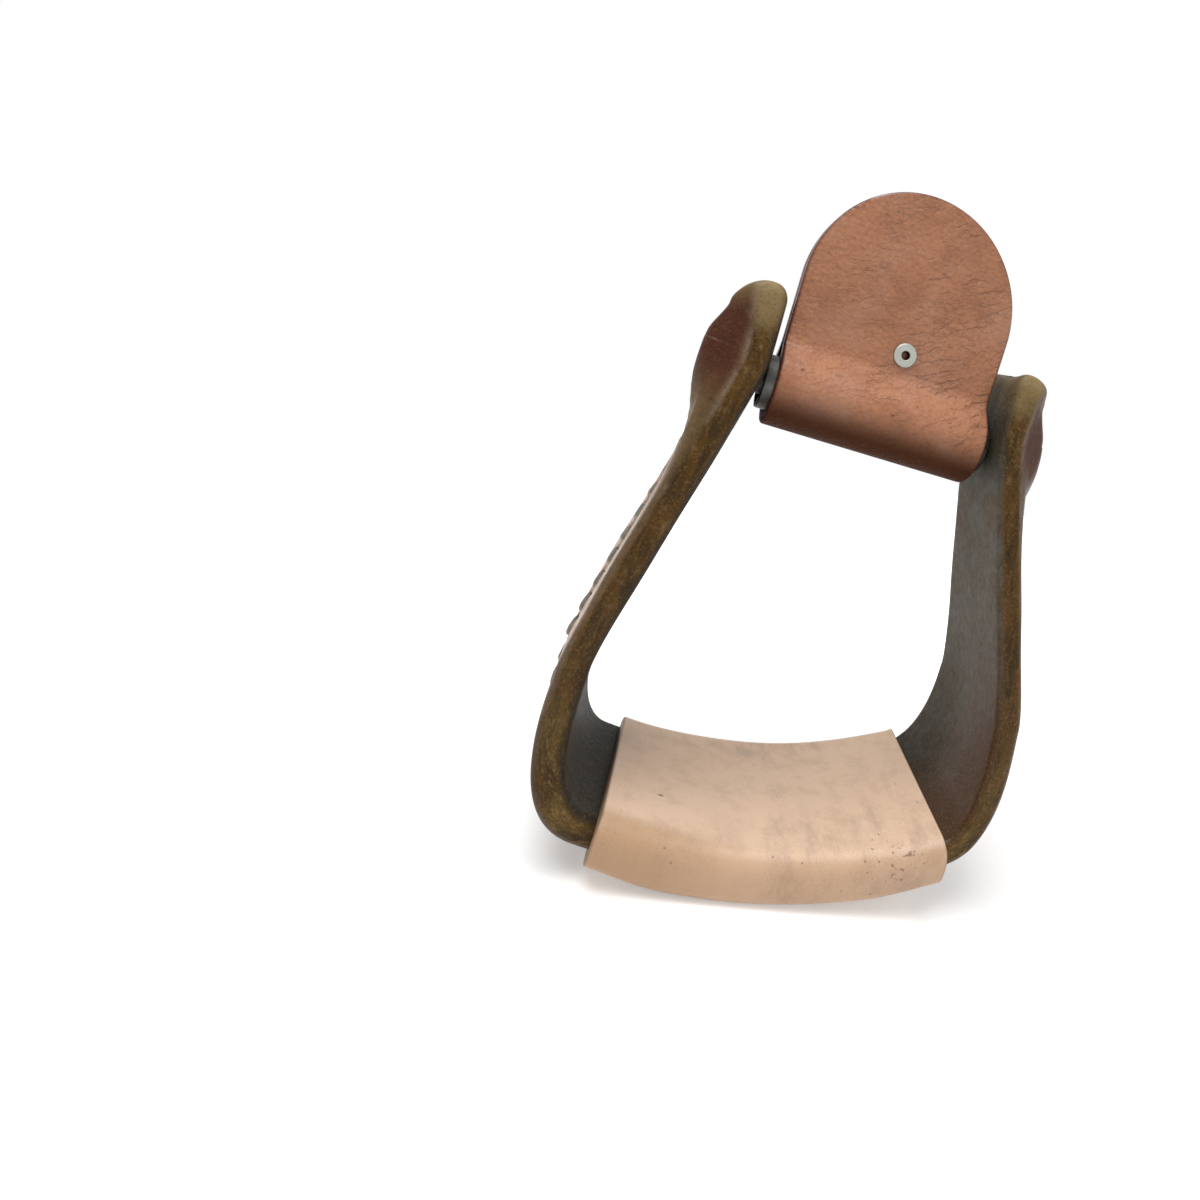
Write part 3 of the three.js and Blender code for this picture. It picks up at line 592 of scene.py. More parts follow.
class STIRRUP_OT_rawhide(Operator):
    """Varnished rawhide stretched round the bow, slit down its outer face, with lace holes and folds"""

    bl_idname = "stirrup.rawhide"
    bl_label = "Rawhide cover"

    def execute(self, context):
        size = context.scene.stirrup_sizes
        bow = Bow(size)
        fixed, stretch, turn_y, side, turn_out, slit = hide_columns()
        rows = hide_rows(bow)
        from_top = np.minimum(rows, bow.length - rows)[:, None]
        dome = np.sqrt(1 - (1 - np.clip(from_top / size.top_rounding, 0, 1)) ** 2)
        flat = bow.half_depth(rows)[:, None] - size.hide_corner
        y = (fixed + stretch * flat + size.hide_corner * turn_y) * (1 - 0.2 * (1 - dome))
        out = side * (size.hide_half - size.hide_corner) + turn_out * size.hide_corner
        out = out * (0.12 + 0.88 * dome)
        s = np.broadcast_to(rows[:, None], y.shape)
        relief, masks = hide_relief(bow, s, y, turn_out, slit, dome)
        dip = size.top_dip * (1 - np.clip(masks["off_middle"], 0, 1) ** 2)
        fade = 1 - smoothstep(from_top, 0, 14 * MM)
        shifted = s + np.where(s < bow.middle, 1, -1) * (dip - size.top_rise) * fade
        rings = bow.place(shifted, y, out + relief)
        step = np.linalg.norm(np.diff(np.stack([y, out], -1), axis=1), axis=2)
        around = np.concatenate([np.zeros((len(rows), 1)), np.cumsum(step, axis=1)], axis=1)
        uv = np.stack([s, around - around[:, -1:] / 2], -1)
        piece = closed_sweep("rawhide", rings, "frame", uv, masks)
        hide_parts("rawhide_cover")
        piece.data.materials.append(varnished_hide(context.scene.stirrup_colours))
        return {"FINISHED"}


def strand_ring(width, thickness, corners=14):
    """Section of a thong: a squarish oval, w = cos^0.5 across it and h = sin^0.7 through it, signs kept."""
    turn = np.linspace(0, 2 * np.pi, corners, endpoint=False)
    return squared(np.cos(turn), 0.5) * width / 2, squared(np.sin(turn), 0.7) * thickness / 2


def strand_path(size):
    """One stitch: its y, how far it has risen over the hide and how far it has gone back, both 0 to 1.

    Over the seam y = row * cos^0.45 and the rise is sin^0.45 of a half turn; the way back is straight.
    """
    half_turn = np.linspace(np.pi, 0, 400)
    arch_height = 5 * MM
    over_y = size.lace_row * squared(np.cos(half_turn), 0.45)
    over_out = arch_height * np.sin(half_turn) ** 0.45
    over, _ = evenly(np.stack([over_y, over_out], axis=1), 34)
    returning = np.linspace(0, 1, 9)[1:-1]
    back_y = np.linspace(size.lace_row, -size.lace_row, 9)[1:-1]
    y = np.r_[over[:, 0], back_y]
    rise = np.r_[over[:, 1] / arch_height, np.zeros(len(back_y))]
    return y, rise, np.r_[np.zeros(len(over)), returning]


def lace_rings(bow, from_right, seed):
    """One lace: each strand rises through its hole, crosses the seam as a flat arch and goes down again.

    Each strand has its own chance lift, lean, width and tilt.
    """
    size = bow.size
    chance = np.random.default_rng(seed)
    marks = stitch_marks(bow)
    count = len(marks)
    y, rise, returning = strand_path(size)
    below = size.hide_half - LACE_SUNK
    above = size.hide_half + LACE_RAISED
    arch = size.lace_arch * (1 - (y / size.lace_row) ** 2) * (rise > 0)
    lift = chance.uniform(-0.1, 0.25, (count, 1)) * MM
    lean = size.lace_lean + chance.uniform(-0.5, 0.5, (count, 1)) * MM
    climb = (y + size.lace_row) / (2 * size.lace_row)
    to_next = lean + (size.lace_pitch - lean) * returning
    s = marks[:, None] + np.where(returning > 0, to_next, lean * climb)
    out = below + (above - below) * rise + arch + lift * rise
    flat_y = np.broadcast_to(y, s.shape).ravel()
    flat_out, flat_s = out.ravel(), s.ravel()
    tangent = unit(np.stack([np.gradient(flat_y), np.gradient(flat_out)], -1))
    across, through = strand_ring(size.lace_width, size.lace_thickness)
    width = np.repeat(chance.uniform(0.9, 1.07, count), s.shape[1])[:, None]
    tilt = np.repeat(chance.uniform(0.0, 0.5, count), s.shape[1])[:, None] * MM
    edge = across / (size.lace_width / 2)
    risen = np.tile(rise, count)[:, None]
    height = through + tilt * edge * risen - LACE_CURL * edge**2
    from_top = flat_s[:, None] + across * width
    ring_y = flat_y[:, None] - height * tangent[:, 1:]
    ring_out = flat_out[:, None] + height * tangent[:, :1]
    ring_s = bow.length - from_top if from_right else from_top
    rings = bow.place(ring_s, ring_y, ring_out + bow.bulge(ring_s, ring_y))
    travelled = np.arange(len(flat_s)) * 0.6 * MM
    uv = np.stack(np.broadcast_arrays(travelled[:, None], across[None, :]), -1)
    return rings, uv, {"edge": edge, "shown": smoothstep(risen, 0.3, 0.95)}


class STIRRUP_OT_lacing(Operator):
    """Flat thongs whipped through the two rows of holes, one lace for each leg"""

    bl_idname = "stirrup.lacing"
    bl_label = "Lacing"

    def execute(self, context):
        bow = Bow(context.scene.stirrup_sizes)
        finish = greasy_thong(context.scene.stirrup_colours)
        for name, from_right, seed in (("left_lace", False, 4), ("right_lace", True, 9)):
            rings, uv, masks = lace_rings(bow, from_right, seed)
            piece = closed_sweep(name, rings, "frame", uv, masks)
            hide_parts("right_lacing" if from_right else "left_lacing")
            piece.data.materials.append(finish)
        return {"FINISHED"}


def fine_ends(count, reach, near, steps=(0, 0.12, 0.35, 0.7, 1.2)):
    """Distances from one edge to the other, close together beside both edges."""
    edge = np.array(steps) * near
    inside = np.linspace(edge[-1], reach - edge[-1], count)
    return np.r_[edge[:-1], inside, reach - edge[-2::-1]]


def cover_loop(size, deep, radius, low, high):
    """The cover's section as (y, out), from the seam round the back fold, the top and the front fold.

    Round a fold y is deep + radius * cos and out is middle - radius * sin of the angle, and while the angle
    passes 0 the straight stretch between the two quarter circles is added.
    """
    turn = np.linspace(-np.pi / 2, np.pi / 2, 60)
    straight = (low - high) / 2 - radius
    passed = np.clip(np.abs(turn) / (0.12 * np.pi), 0, 1)
    fold_out = (low + high) / 2 - np.sin(turn) * radius - np.sign(np.sin(turn)) * straight * passed
    back = np.stack([deep + radius * np.cos(turn), fold_out], 1)
    front = back[::-1] * (-1, 1)
    seam_y = size.seam_setback - size.tread_depth / 2
    start = (seam_y + size.cover_gap / 2, low)
    end = (seam_y - size.cover_gap / 2, low)
    return np.vstack([[start], back, front, [end]])


class STIRRUP_OT_tread_cover(Operator):
    """Thick tan leather folded round the tread, its two edges meeting underneath"""

    bl_idname = "stirrup.tread_cover"
    bl_label = "Tread cover"

    def execute(self, context):
        size = context.scene.stirrup_sizes
        bow = Bow(size)
        half_sheet = size.cover_thickness / 2
        radius = size.fold_radius - half_sheet
        deep = size.tread_depth / 2 + size.cover_overhang + half_sheet - radius
        low = size.cover_room + half_sheet
        high = -(size.hide_half + size.cover_air + half_sheet)
        dense, along = evenly(cover_loop(size, deep, radius, low, high), 3000)
        path_length = along[-1]
        steps = fine_ends(150, path_length, 1 * MM)
        path = np.stack([np.interp(steps, along, column) for column in dense.T], 1)
        tangent = unit(np.gradient(path, steps, axis=0))
        normal = np.stack([-tangent[:, 1], tangent[:, 0]], 1)
        cover_length = size.cover_left + size.cover_right
        rows = fine_ends(140, cover_length, 1 * MM)
        from_end = np.minimum(rows, cover_length - rows)[:, None]
        from_edge = np.minimum(from_end, np.minimum(steps, path_length - steps)[None, :])
        half = half_thickness(size.cover_thickness, from_edge, 0.8 * MM)
        under = np.clip((path[:, 1] - high) / (low - high), 0, 1)
        s = bow.middle + (rows - size.cover_left)[:, None] * (1 - size.cover_tuck * under)
        s = s + size.cover_slant * path[:, 0] / deep
        cling = size.cover_cling * under * (1 - smoothstep(from_end, 0, 26 * MM))
        crown = 0.35 * MM * np.cos(s * 90 + path[:, 0] * 40) * smoothstep(from_end, 0, 12 * MM)
        sides = []
        for sign in (1, -1):
            y = path[:, 0] - sign * half * normal[:, 0]
            out = path[:, 1] - sign * half * normal[:, 1]
            out = out + np.where(path[:, 1] < 0, crown * 0.4, 0) - cling
            points = bow.place(s, y, out)
            points[..., 2] = np.maximum(points[..., 2], 0)
            sides.append(points)
        flat = np.stack(np.broadcast_arrays(rows[:, None], steps[None, :]), -1)
        edge = 1 - smoothstep(from_edge, 0.1 * MM, 0.9 * MM)
        inside = np.array((1, 0))[:, None, None]
        masks = {"edge": edge, "inside": inside}
        piece = two_sided("tread_sleeve", sides, "frame", flat, masks)
        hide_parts("tread_cover")
        piece.data.materials.append(tan_leather(context.scene.stirrup_colours))
        return {"FINISHED"}


def knot_surface(centre, first, rows=18, columns=28):
    """A lumpy knob with a tapered end: radius 1 + 0.16 cos(3 a + 2 b), a round it and b down it."""
    b = np.linspace(0.12, np.pi - 0.12, rows)[:, None]
    a = np.linspace(0, 2 * np.pi, columns, endpoint=False)[None, :]
    lump = 1 + 0.16 * np.cos(3 * a + 2 * b) * np.sin(b)
    tail = 1 + 0.35 * smoothstep(b, 2.2, np.pi)
    x = 2.1 * MM * lump * np.sin(b) * np.cos(a)
    y = 2.1 * MM * lump * np.sin(b) * np.sin(a)
    z = 1.5 * MM * tail * np.cos(b) + 0 * a
    rings = np.stack([x, y, z], -1) + centre
    points = np.vstack([rings.reshape(-1, 3), rings[[0, -1]].mean(axis=1)])
    return points, (ring_faces(rows, columns) + first, fan_faces(rows, columns) + first)


def tie_loop(size, seam_y, floor):
    """A tie's path through the cover as (y, out): a rounded square, cos^0.3 wide and sin^0.3 high."""
    turn = np.linspace(0, 2 * np.pi, 72, endpoint=False)
    loop_y = seam_y + size.tie_reach * squared(np.cos(turn), 0.3)
    reach = size.cover_thickness / 2 + TIE_OFF
    loop_out = (size.cover_room + floor) / 2 + reach * squared(np.sin(turn), 0.3)
    loop, _ = evenly(np.stack([np.r_[loop_y, loop_y[0]], np.r_[loop_out, loop_out[0]]], 1), 73)
    return loop[:-1]


class STIRRUP_OT_ties(Operator):
    """Thong ties through the slots under the tread cover, each with its knot and cut end"""

    bl_idname = "stirrup.ties"
    bl_label = "Ties"

    def execute(self, context):
        size = context.scene.stirrup_sizes
        bow = Bow(size)
        finish = greasy_thong(context.scene.stirrup_colours)
        floor = size.cover_room + size.cover_thickness
        seam_y = size.seam_setback - size.tread_depth / 2
        loop = tie_loop(size, seam_y, floor)
        tangent = unit(np.roll(loop, -1, 0) - np.roll(loop, 1, 0))
        across, through = strand_ring(size.tie_width, size.lace_thickness)
        y = loop[:, :1] - through * tangent[:, 1:]
        out = loop[:, 1:] + through * tangent[:, :1]
        rows, columns = y.shape
        faces = np.vstack([ring_faces(rows, columns), wrap_faces(rows, columns)])
        for name, side in (("left_tie", -1), ("right_tie", 1)):
            middle = bow.middle + side * size.tie_offset
            rings = bow.place(middle + across, y, out)
            knot_at = bow.place(middle, seam_y - size.tie_reach / 2, floor + KNOT_DROP)
            knot, knot_faces = knot_surface(knot_at, rows * columns)
            points = np.vstack([rings.reshape(-1, 3), knot])
            points[:, 2] = np.maximum(points[:, 2], 0)
            edge = np.r_[np.tile(across / (size.tie_width / 2), rows), np.zeros(len(knot))]
            masks = {"edge": edge, "shown": np.ones(len(edge))}
            piece = make_piece(name, points, (faces, *knot_faces), "frame", None, masks)
            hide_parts("tread_tie_left" if side < 0 else "tread_tie_right")
            piece.data.materials.append(finish)
        return {"FINISHED"}


def strap_line(size):
    """Middle line of the roller leather as (y, z): down one ply, half a turn round the tube and up again.

    Cubic curves lead from each upright ply to the half circle below the bolt.
    """
    wrap = size.tube_diameter / 2 + size.ply_slit + size.ply_thickness / 2
    upright = (size.ply_slit + size.ply_thickness) / 2
    pull = wrap * 0.8
    leaving = (-upright, size.ply_meeting * 0.57)
    down = bezier([(-upright, size.ply_meeting), leaving, (-wrap, pull), (-wrap, 0)])
    turn = np.linspace(np.pi, 2 * np.pi, 300)
    round_tube = wrap * np.stack([np.cos(turn), np.sin(turn)], 1)
    top = size.tab_height - TIP_TRIM
    return np.vstack([[(-upright, top)], down, round_tube[1:], (down * (-1, 1))[-2::-1], [(upright, top)]])


class STIRRUP_OT_roller_leather(Operator):
    """One russet strap folded round the roller, its two plies standing up as an arched tab"""

    bl_idname = "stirrup.roller_leather"
    bl_label = "Roller leather"

    def execute(self, context):
        size = context.scene.stirrup_sizes
        line, travelled = evenly(strap_line(size), 6000)
        total = travelled[-1]
        half_width = size.tab_width / 2
        arch_base = size.tab_height - half_width
        angle = np.radians(np.r_[np.linspace(88.5, 60, 30), np.linspace(58, 0, 34)])
        arched = size.tab_height - TIP_TRIM - (arch_base + half_width * np.sin(angle))
        straight = np.linspace(arched[-1], total - arched[-1], 150)[1:-1]
        rows = np.r_[arched, straight, total - arched[::-1]]
        y, z = (np.interp(rows, travelled, column) for column in line.T)
        tangent = unit(np.gradient(np.stack([y, z], 1), axis=0))
        y, z = y[:, None], z[:, None]
        above = np.maximum(0, z - arch_base)
        reach = np.sqrt(np.maximum(half_width**2 - above**2, 0))
        x = reach * (fine_ends(58, 2.0, 0.03) - 1)
        inside_arch = half_width - np.hypot(x, above)
        distance = np.maximum(np.where(above > 0, inside_arch, half_width - np.abs(x)), 0)
        half = half_thickness(size.ply_thickness, distance, 1.1 * MM)
        to_rivet = np.hypot(x - size.rivet_offset, z - size.rivet_height)
        on_tab = smoothstep(z, 5 * MM, 12 * MM)
        sunk = np.exp(-((to_rivet / (5.5 * MM)) ** 2)) * on_tab
        dimple = 0.75 * MM * sunk
        bore = (size.ply_thickness / 2 - 0.1 * MM) * (1 - smoothstep(to_rivet, 2.4 * MM, 3.2 * MM)) * on_tab
        wave = np.sin(x * 61 + z * 40 + 0.7) * np.sin(rows[:, None] * 52 + x * 17)
        seen_face = half - bore - dimple + wave * 0.22 * MM * smoothstep(distance, 0, 8 * MM)
        sides = []
        for away in (half - bore, -seen_face):
            points = np.empty((*x.shape, 3))
            points[..., 0] = x
            points[..., 1] = y + away * tangent[:, 1:]
            points[..., 2] = z - away * tangent[:, :1] + AXIS_Z
            sides.append(points)
        flat = np.stack(np.broadcast_arrays(x, rows[:, None]), -1)
        masks = {"edge": 1 - smoothstep(distance, 0.1 * MM, 1.2 * MM), "near_rivet": sunk}
        piece = two_sided("roller_strap", sides, "roller", flat, masks)
        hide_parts("roller_leather")
        piece.data.materials.append(russet_leather(context.scene.stirrup_colours))
        return {"FINISHED"}


def tube_profile(size):
    """Wall of the roller tube with eased ends, as (radius, distance from the middle)."""
    outer, bore, reach, soft = size.tube_diameter / 2, size.tube_bore / 2, size.roller_reach, 0.5 * MM
    end = [
        (bore, reach - soft),
        (bore + soft * 0.3, reach - soft * 0.2),
        (bore + soft, reach),
        (outer - soft, reach),
        (outer - soft * 0.3, reach - soft * 0.2),
        (outer, reach - soft),
    ]
    return [(radius, -along) for radius, along in end] + end[::-1]


def rivet_profile(grip, head):
    """Tubular rivet as (radius, distance from the slit): head in front, shank, and rolled end behind."""
    return [
        (1.4 * MM, -grip + 0.4 * MM),
        (1.42 * MM, -grip - 0.35 * MM),
        (1.55 * MM, -grip - 0.8 * MM),
        (1.85 * MM, -grip - 1.0 * MM),
        (2.2 * MM, -grip - 0.98 * MM),
        (2.5 * MM, -grip - 0.8 * MM),
        (head * 0.8, -grip - 0.72 * MM),
        (head * 0.93, -grip - 0.6 * MM),
        (head, -grip - 0.3 * MM),
        (head * 0.97, -grip + 0.1 * MM),
        (head * 0.9, -grip + 0.25 * MM),
        (2.25 * MM, -grip + 0.3 * MM),
        (2.2 * MM, -grip + 0.5 * MM),
        (2.2 * MM, grip + 0.9 * MM),
        (2.5 * MM, grip + 1.0 * MM),
        (3.2 * MM, grip + 1.1 * MM),
        (3.3 * MM, grip + 1.45 * MM),
        (2.9 * MM, grip + 1.9 * MM),
        (2.1 * MM, grip + 2.0 * MM),
        (1.45 * MM, grip + 1.6 * MM),
        (1.25 * MM, grip + 0.8 * MM),
    ]


def burr_profile(grip):
    """Washer under the rivet's rolled end, as (radius, distance from the slit)."""
    bore, face, rim = 2.5 * MM, 4.3 * MM, 4.6 * MM
    return [
        (bore, grip + 0.15 * MM),
        (face, grip + 0.15 * MM),
        (rim, grip + 0.35 * MM),
        (rim, grip + 0.65 * MM),
        (face, grip + 0.88 * MM),
        (bore, grip + 0.88 * MM),
    ]


class STIRRUP_OT_roller_metal(Operator):
    """The roller tube, the tab's tubular rivet and the washer under its rolled end"""

    bl_idname = "stirrup.roller_metal"
    bl_label = "Tube and rivet"

    def execute(self, context):
        size = context.scene.stirrup_sizes
        colours = context.scene.stirrup_colours
        piece = lathe("steel_tube", tube_profile(size), (0, 0, AXIS_Z), 0, "roller", 96)
        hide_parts("roller_tube")
        piece.data.materials.append(galvanised_steel(colours))
        grip = size.ply_thickness + size.ply_slit / 2
        centre = (size.rivet_offset, 0, size.rivet_height + AXIS_Z)
        piece = lathe("rivet", rivet_profile(grip, size.rivet_head / 2), centre, 1, "roller")
        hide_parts("tab_rivet")
        piece.data.materials.append(worn_aluminium(colours, centre))
        piece = lathe("burr", burr_profile(grip), centre, 1, "roller")
        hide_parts("rivet_washer")
        piece.data.materials.append(worn_aluminium(colours, centre))
        return {"FINISHED"}


class STIRRUP_OT_hidden_parts(Operator):
    """The bent wood with its groove, and finishes for bolt, washer and nut, whose frame shapes are kept"""

    bl_idname = "stirrup.hidden_parts"
    bl_label = "Wood and bolt"

    def execute(self, context):
        size, colours = context.scene.stirrup_sizes, context.scene.stirrup_colours
        bow = Bow(size)
        s = np.linspace(1.5 * MM, bow.length - 1.5 * MM, 400)[:, None]
        turn = np.linspace(0, 2 * np.pi, 96, endpoint=False)
        half_wood, groove = 2.9 * MM, 1.3 * MM
        y = squared(np.cos(turn), 0.3) * (bow.half_depth(s) - 1.9 * MM)
        out = squared(np.sin(turn), 0.4) * half_wood
        out = out - np.where(out > 0, groove, 0) * (1 - smoothstep(np.abs(y), 8 * MM, 9.5 * MM))
        wood = closed_sweep("bent_bow", bow.place(s, y, out), "frame")
        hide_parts("wood_core")
        wood.data.materials.append(bent_wood(colours))
        for node in ("stirrup_bolt", "bolt_washer", "bolt_nut"):
            finish = galvanised_steel(colours)
            for place in frame["nodes"][node].material_slots:
                place.material = finish
        return {"FINISHED"}


class Wire:
    """A shader socket whose sums and products with numbers or other sockets add Math nodes."""

    def __init__(self, kit, socket):
        self.kit = kit
        self.socket = socket

    def math(self, operation, first, second):
        return self.kit.node("ShaderNodeMath", {"operation": operation}, {0: first, 1: second})

    def __add__(self, other):
        return self.math("ADD", self, other)

    __radd__ = __add__

    def __sub__(self, other):
        return self.math("SUBTRACT", self, other)

    def __rsub__(self, other):
        return self.math("SUBTRACT", other, self)

    def __mul__(self, other):
        return self.math("MULTIPLY", self, other)

    __rmul__ = __mul__


class Nodes:
    """The nodes of a material or of the world in the making."""

    def __init__(self, holder):
        holder.use_nodes = True
        self.tree = holder.node_tree
        self.tree.nodes.clear()

    def node(self, kind, settings=None, values=None, out=0):
        """Adds a node with its settings and the values or wires of its sockets, and gives one output."""
        node = self.tree.nodes.new(kind)
        for key, value in (settings or {}).items():
            setattr(node, key, value)
        for key, value in (values or {}).items():
            if isinstance(value, Wire):
                self.tree.links.new(value.socket, node.inputs[key])
            else:
                node.inputs[key].default_value = value
        return Wire(self, node.outputs[out]) if node.outputs else None

    def coordinates(self, kind="Object"):
        return self.node("ShaderNodeTexCoord", out=kind)

    def stretched(self, vector, scale, turn=0.0):
        """Coordinates turned round Z and then scaled, so a pattern lies along the turned direction."""
        if turn:
            vector = self.node("ShaderNodeMapping", {}, {"Vector": vector, "Rotation": (0, 0, turn)})
        return self.node("ShaderNodeMapping", {}, {"Vector": vector, "Scale": scale})

    def noise(self, vector, scale, detail=4, roughness=0.55, distortion=0.0):
        values = {"Vector": vector, "Scale": scale, "Detail": detail, "Roughness": roughness}
        return self.node("ShaderNodeTexNoise", {}, values | {"Distortion": distortion})

    def spots(self, vector, scale):
        """Distance to the nearest of many scattered points."""
        return self.node("ShaderNodeTexVoronoi", {}, {"Vector": vector, "Scale": scale})

    def seen(self):
        """1 for rays from the camera, from glossy surfaces and through clear ones, 0 for the rest."""
        outputs = ("Is Camera Ray", "Is Glossy Ray", "Is Transmission Ray")
        camera, glossy, through = (self.node("ShaderNodeLightPath", out=name) for name in outputs)
        return camera + glossy + through

    def vector_math(self, operation, values, out="Vector"):
        return self.node("ShaderNodeVectorMath", {"operation": operation}, values, out)

    def near(self, vector, centre, inside, outside):
        """1 within a distance of a point, 0 beyond another."""
        return self.between(self.vector_math("DISTANCE", {0: vector, 1: centre}, "Value"), outside, inside)

    def part(self, vector, axis):
        return self.node("ShaderNodeSeparateXYZ", {}, {0: vector}, out=axis)

    def mask(self, name):
        return self.node("ShaderNodeAttribute", {"attribute_name": name}, out="Fac")

    def between(self, value, low, high):
        """0 below low, 1 above high, smooth between them; low may be above high."""
        limits = {"Value": value, "From Min": low, "From Max": high}
        return self.node("ShaderNodeMapRange", {"interpolation_type": "SMOOTHSTEP"}, limits)

    def blend(self, factor, first, second, how="MIX"):
        tones = {0: factor, 6: self.tone(first), 7: self.tone(second)}
        return self.node("ShaderNodeMix", {"data_type": "RGBA", "blend_type": how}, tones, out=2)

    def tone(self, value):
        return value if isinstance(value, Wire) else (*value[:3], 1)

    def crease(self, value, width):
        """1 along the lines where a noise passes its middle value, 0 beside them."""
        away = self.node("ShaderNodeMath", {"operation": "ABSOLUTE"}, {0: value - 0.5})
        return self.between(away, width, width * 0.15)

    def bump(self, height, depth, strength=1.0, under=None):
        values = {"Height": height, "Distance": depth, "Strength": strength}
        if under is not None:
            values["Normal"] = under
        return self.node("ShaderNodeBump", {}, values)


class Finish(Nodes):
    """A material in the making."""

    def __init__(self, name):
        self.material = bpy.data.materials.new(name)
        super().__init__(self.material)

    def surface(self, **values):
        """The Principled surface, joined to the material's output."""
        sockets = {key.replace("_", " "): value for key, value in values.items()}
        shader = self.node("ShaderNodeBsdfPrincipled", {}, sockets)
        self.node("ShaderNodeOutputMaterial", {}, {"Surface": shader})
        return self.material


class Hide(Finish):
    """Rawhide in the making, with the patterns that its faces and edges share."""

    def __init__(self, colours):
        super().__init__("varnished_rawhide")
        self.colours = colours
        self.spot = self.coordinates()
        lie = self.coordinates("UV")
        self.across, self.ahead, self.height = (self.part(self.spot, axis) for axis in "XYZ")
        self.outer, self.inner = self.mask("outer"), self.mask("inner")
        self.from_top, self.off_middle = self.mask("from_top"), self.mask("off_middle")
        self.cloud = self.noise(self.spot, 26, 3, 0.55, 0.6)
        self.patch = self.noise(self.spot, 70, 4, 0.6)
        self.mottle = self.noise(self.spot, 330, 5, 0.62)
        self.grain = self.noise(self.spot, 1400, 3, 0.6)
        self.fibres = self.noise(self.stretched(lie, (130, 460, 1), 0.12), 1.0, 5, 0.68, 2.2)
        self.streaks = self.noise(self.stretched(lie, (55, 240, 1)), 1.0, 4, 0.6, 0.5)
        wrinkles = self.noise(self.stretched(lie, (90, 260, 1), 0.9), 1.0, 3, 0.6, 0.4)
        self.wrinkle = self.crease(wrinkles, 0.03)
        self.foot = self.between(self.ahead, 0.012, -0.012) * self.between(self.height, 0.13, 0.06)
        self.foot = self.foot * self.between(self.across, -0.01, 0.01)

    def outer_face(self):
        """Orange-brown with paler and darker patches, with painted shade beside its long edges, low down
        and on the front of the swelling.
        """
        colours = self.colours
        tone = self.blend(self.between(self.cloud, 0.42, 0.62), colours.hide_outer, colours.hide_light)
        tone = self.blend(self.between(self.patch, 0.55, 0.75) * 0.6, tone, colours.hide_dark_and_shade)
        # Painted shade: darker beside the long edges and low down
        edge_and_low_shade = self.between(self.off_middle, 0.72, 1.0) * 0.75
        edge_and_low_shade = edge_and_low_shade + self.between(self.height, 0.07, 0.01) * 0.5
        tone = self.blend(self.node("ShaderNodeClamp", {}, {0: edge_and_low_shade}), tone, colours.hide_dark_and_shade)
        # Painted shade on the front of the swelling, in an olive brown
        swollen_front_shade = self.between(self.ahead, 0.002, -0.008) * self.between(self.from_top, 1.3, 0.45)
        return self.blend(swollen_front_shade * 0.8, tone, colours.hide_swell_shade)

    def long_edges(self):
        """Olive brown with pale fibres, more of them round the bottom corners."""
        colours = self.colours
        tone = self.blend(self.between(self.streaks, 0.38, 0.66), colours.hide_edge, colours.hide_dark_and_shade)
        pale = self.between(self.mottle, 0.5, 0.72) * self.between(self.streaks, 0.6, 0.4)
        tone = self.blend(pale * 0.4, tone, colours.hide_light)
        corner = self.between(self.height, 0.075, 0.03)
        fibre = self.between(self.fibres, 0.5, 0.7) * (0.1 + corner * 0.45)
        fibre = fibre + corner * self.between(self.cloud, 0.45, 0.6) * 0.18
        return self.blend(fibre, tone, colours.hide_fibre)

    def inner_face(self):
        """Grey as a painted sheen over the rawhide, with painted shade low down, below the leg tops and on
        the left leg; the right leg's foot is brown.
        """
        colours = self.colours
        # Painted grey sheen, with random darker patches
        tone = self.blend(self.between(self.patch, 0.4, 0.65) * 0.5, colours.hide_inner_sheen, colours.hide_edge)
        tone = self.blend(self.between(self.streaks, 0.5, 0.75) * 0.14, tone, colours.hide_fibre)
        # Painted shade: darker low down and below the leg tops, under the tab
        shaded = self.between(self.height, 0.1, 0.035) * 0.6 + self.between(self.from_top, 0.5, 0.15) * 0.7
        tone = self.blend(shaded, tone, colours.hide_soil_and_shade)
        brown = self.foot * (0.6 + self.between(self.cloud, 0.35, 0.6) * 0.4)
        tone = self.blend(brown, tone, colours.hide_foot)
        # Painted shade over the left leg's inner face
        return self.blend(self.between(self.across, -0.02, -0.045) * 0.62, tone, colours.hide_soil_and_shade)

    def leg_tops(self, tone):
        """Pale where the rawhide is folded over, stained maroon below, with a painted highlight along the
        ridge, and wrinkles.
        """
        colours = self.colours
        crown = self.between(self.from_top + self.patch * 0.12 - 0.06, 0.16, 0.03)
        crown = crown * (1 - self.inner * 0.6) * (1 - self.outer * 0.5)
        tone = self.blend(crown * (0.7 + self.between(self.mottle, 0.4, 0.6) * 0.3), tone, colours.hide_top)
        stain = self.between(self.from_top, 0.02, 0.1) * self.between(self.from_top, 0.5, 0.25)
        stain = stain * self.between(self.off_middle, 0.35, 0.6) * self.outer
        tone = self.blend(stain * 0.95, tone, colours.hide_stain)
        # Painted highlight: a pale line along the ridge between the outer face and the long edge
        ridge = self.outer * (1 - self.outer) * 4 * self.between(self.patch, 0.35, 0.6)
        ridge = ridge * (0.3 + self.between(self.from_top, 0.9, 0.5) * 0.3)
        tone = self.blend(ridge, tone, colours.hide_ridge_highlight)
        wrinkle = self.wrinkle * self.between(self.from_top, 0.45, 0.2) * (0.22 - self.inner * 0.15)
        return self.blend(wrinkle * (1 - self.outer * 0.8), tone, colours.hide_fibre)

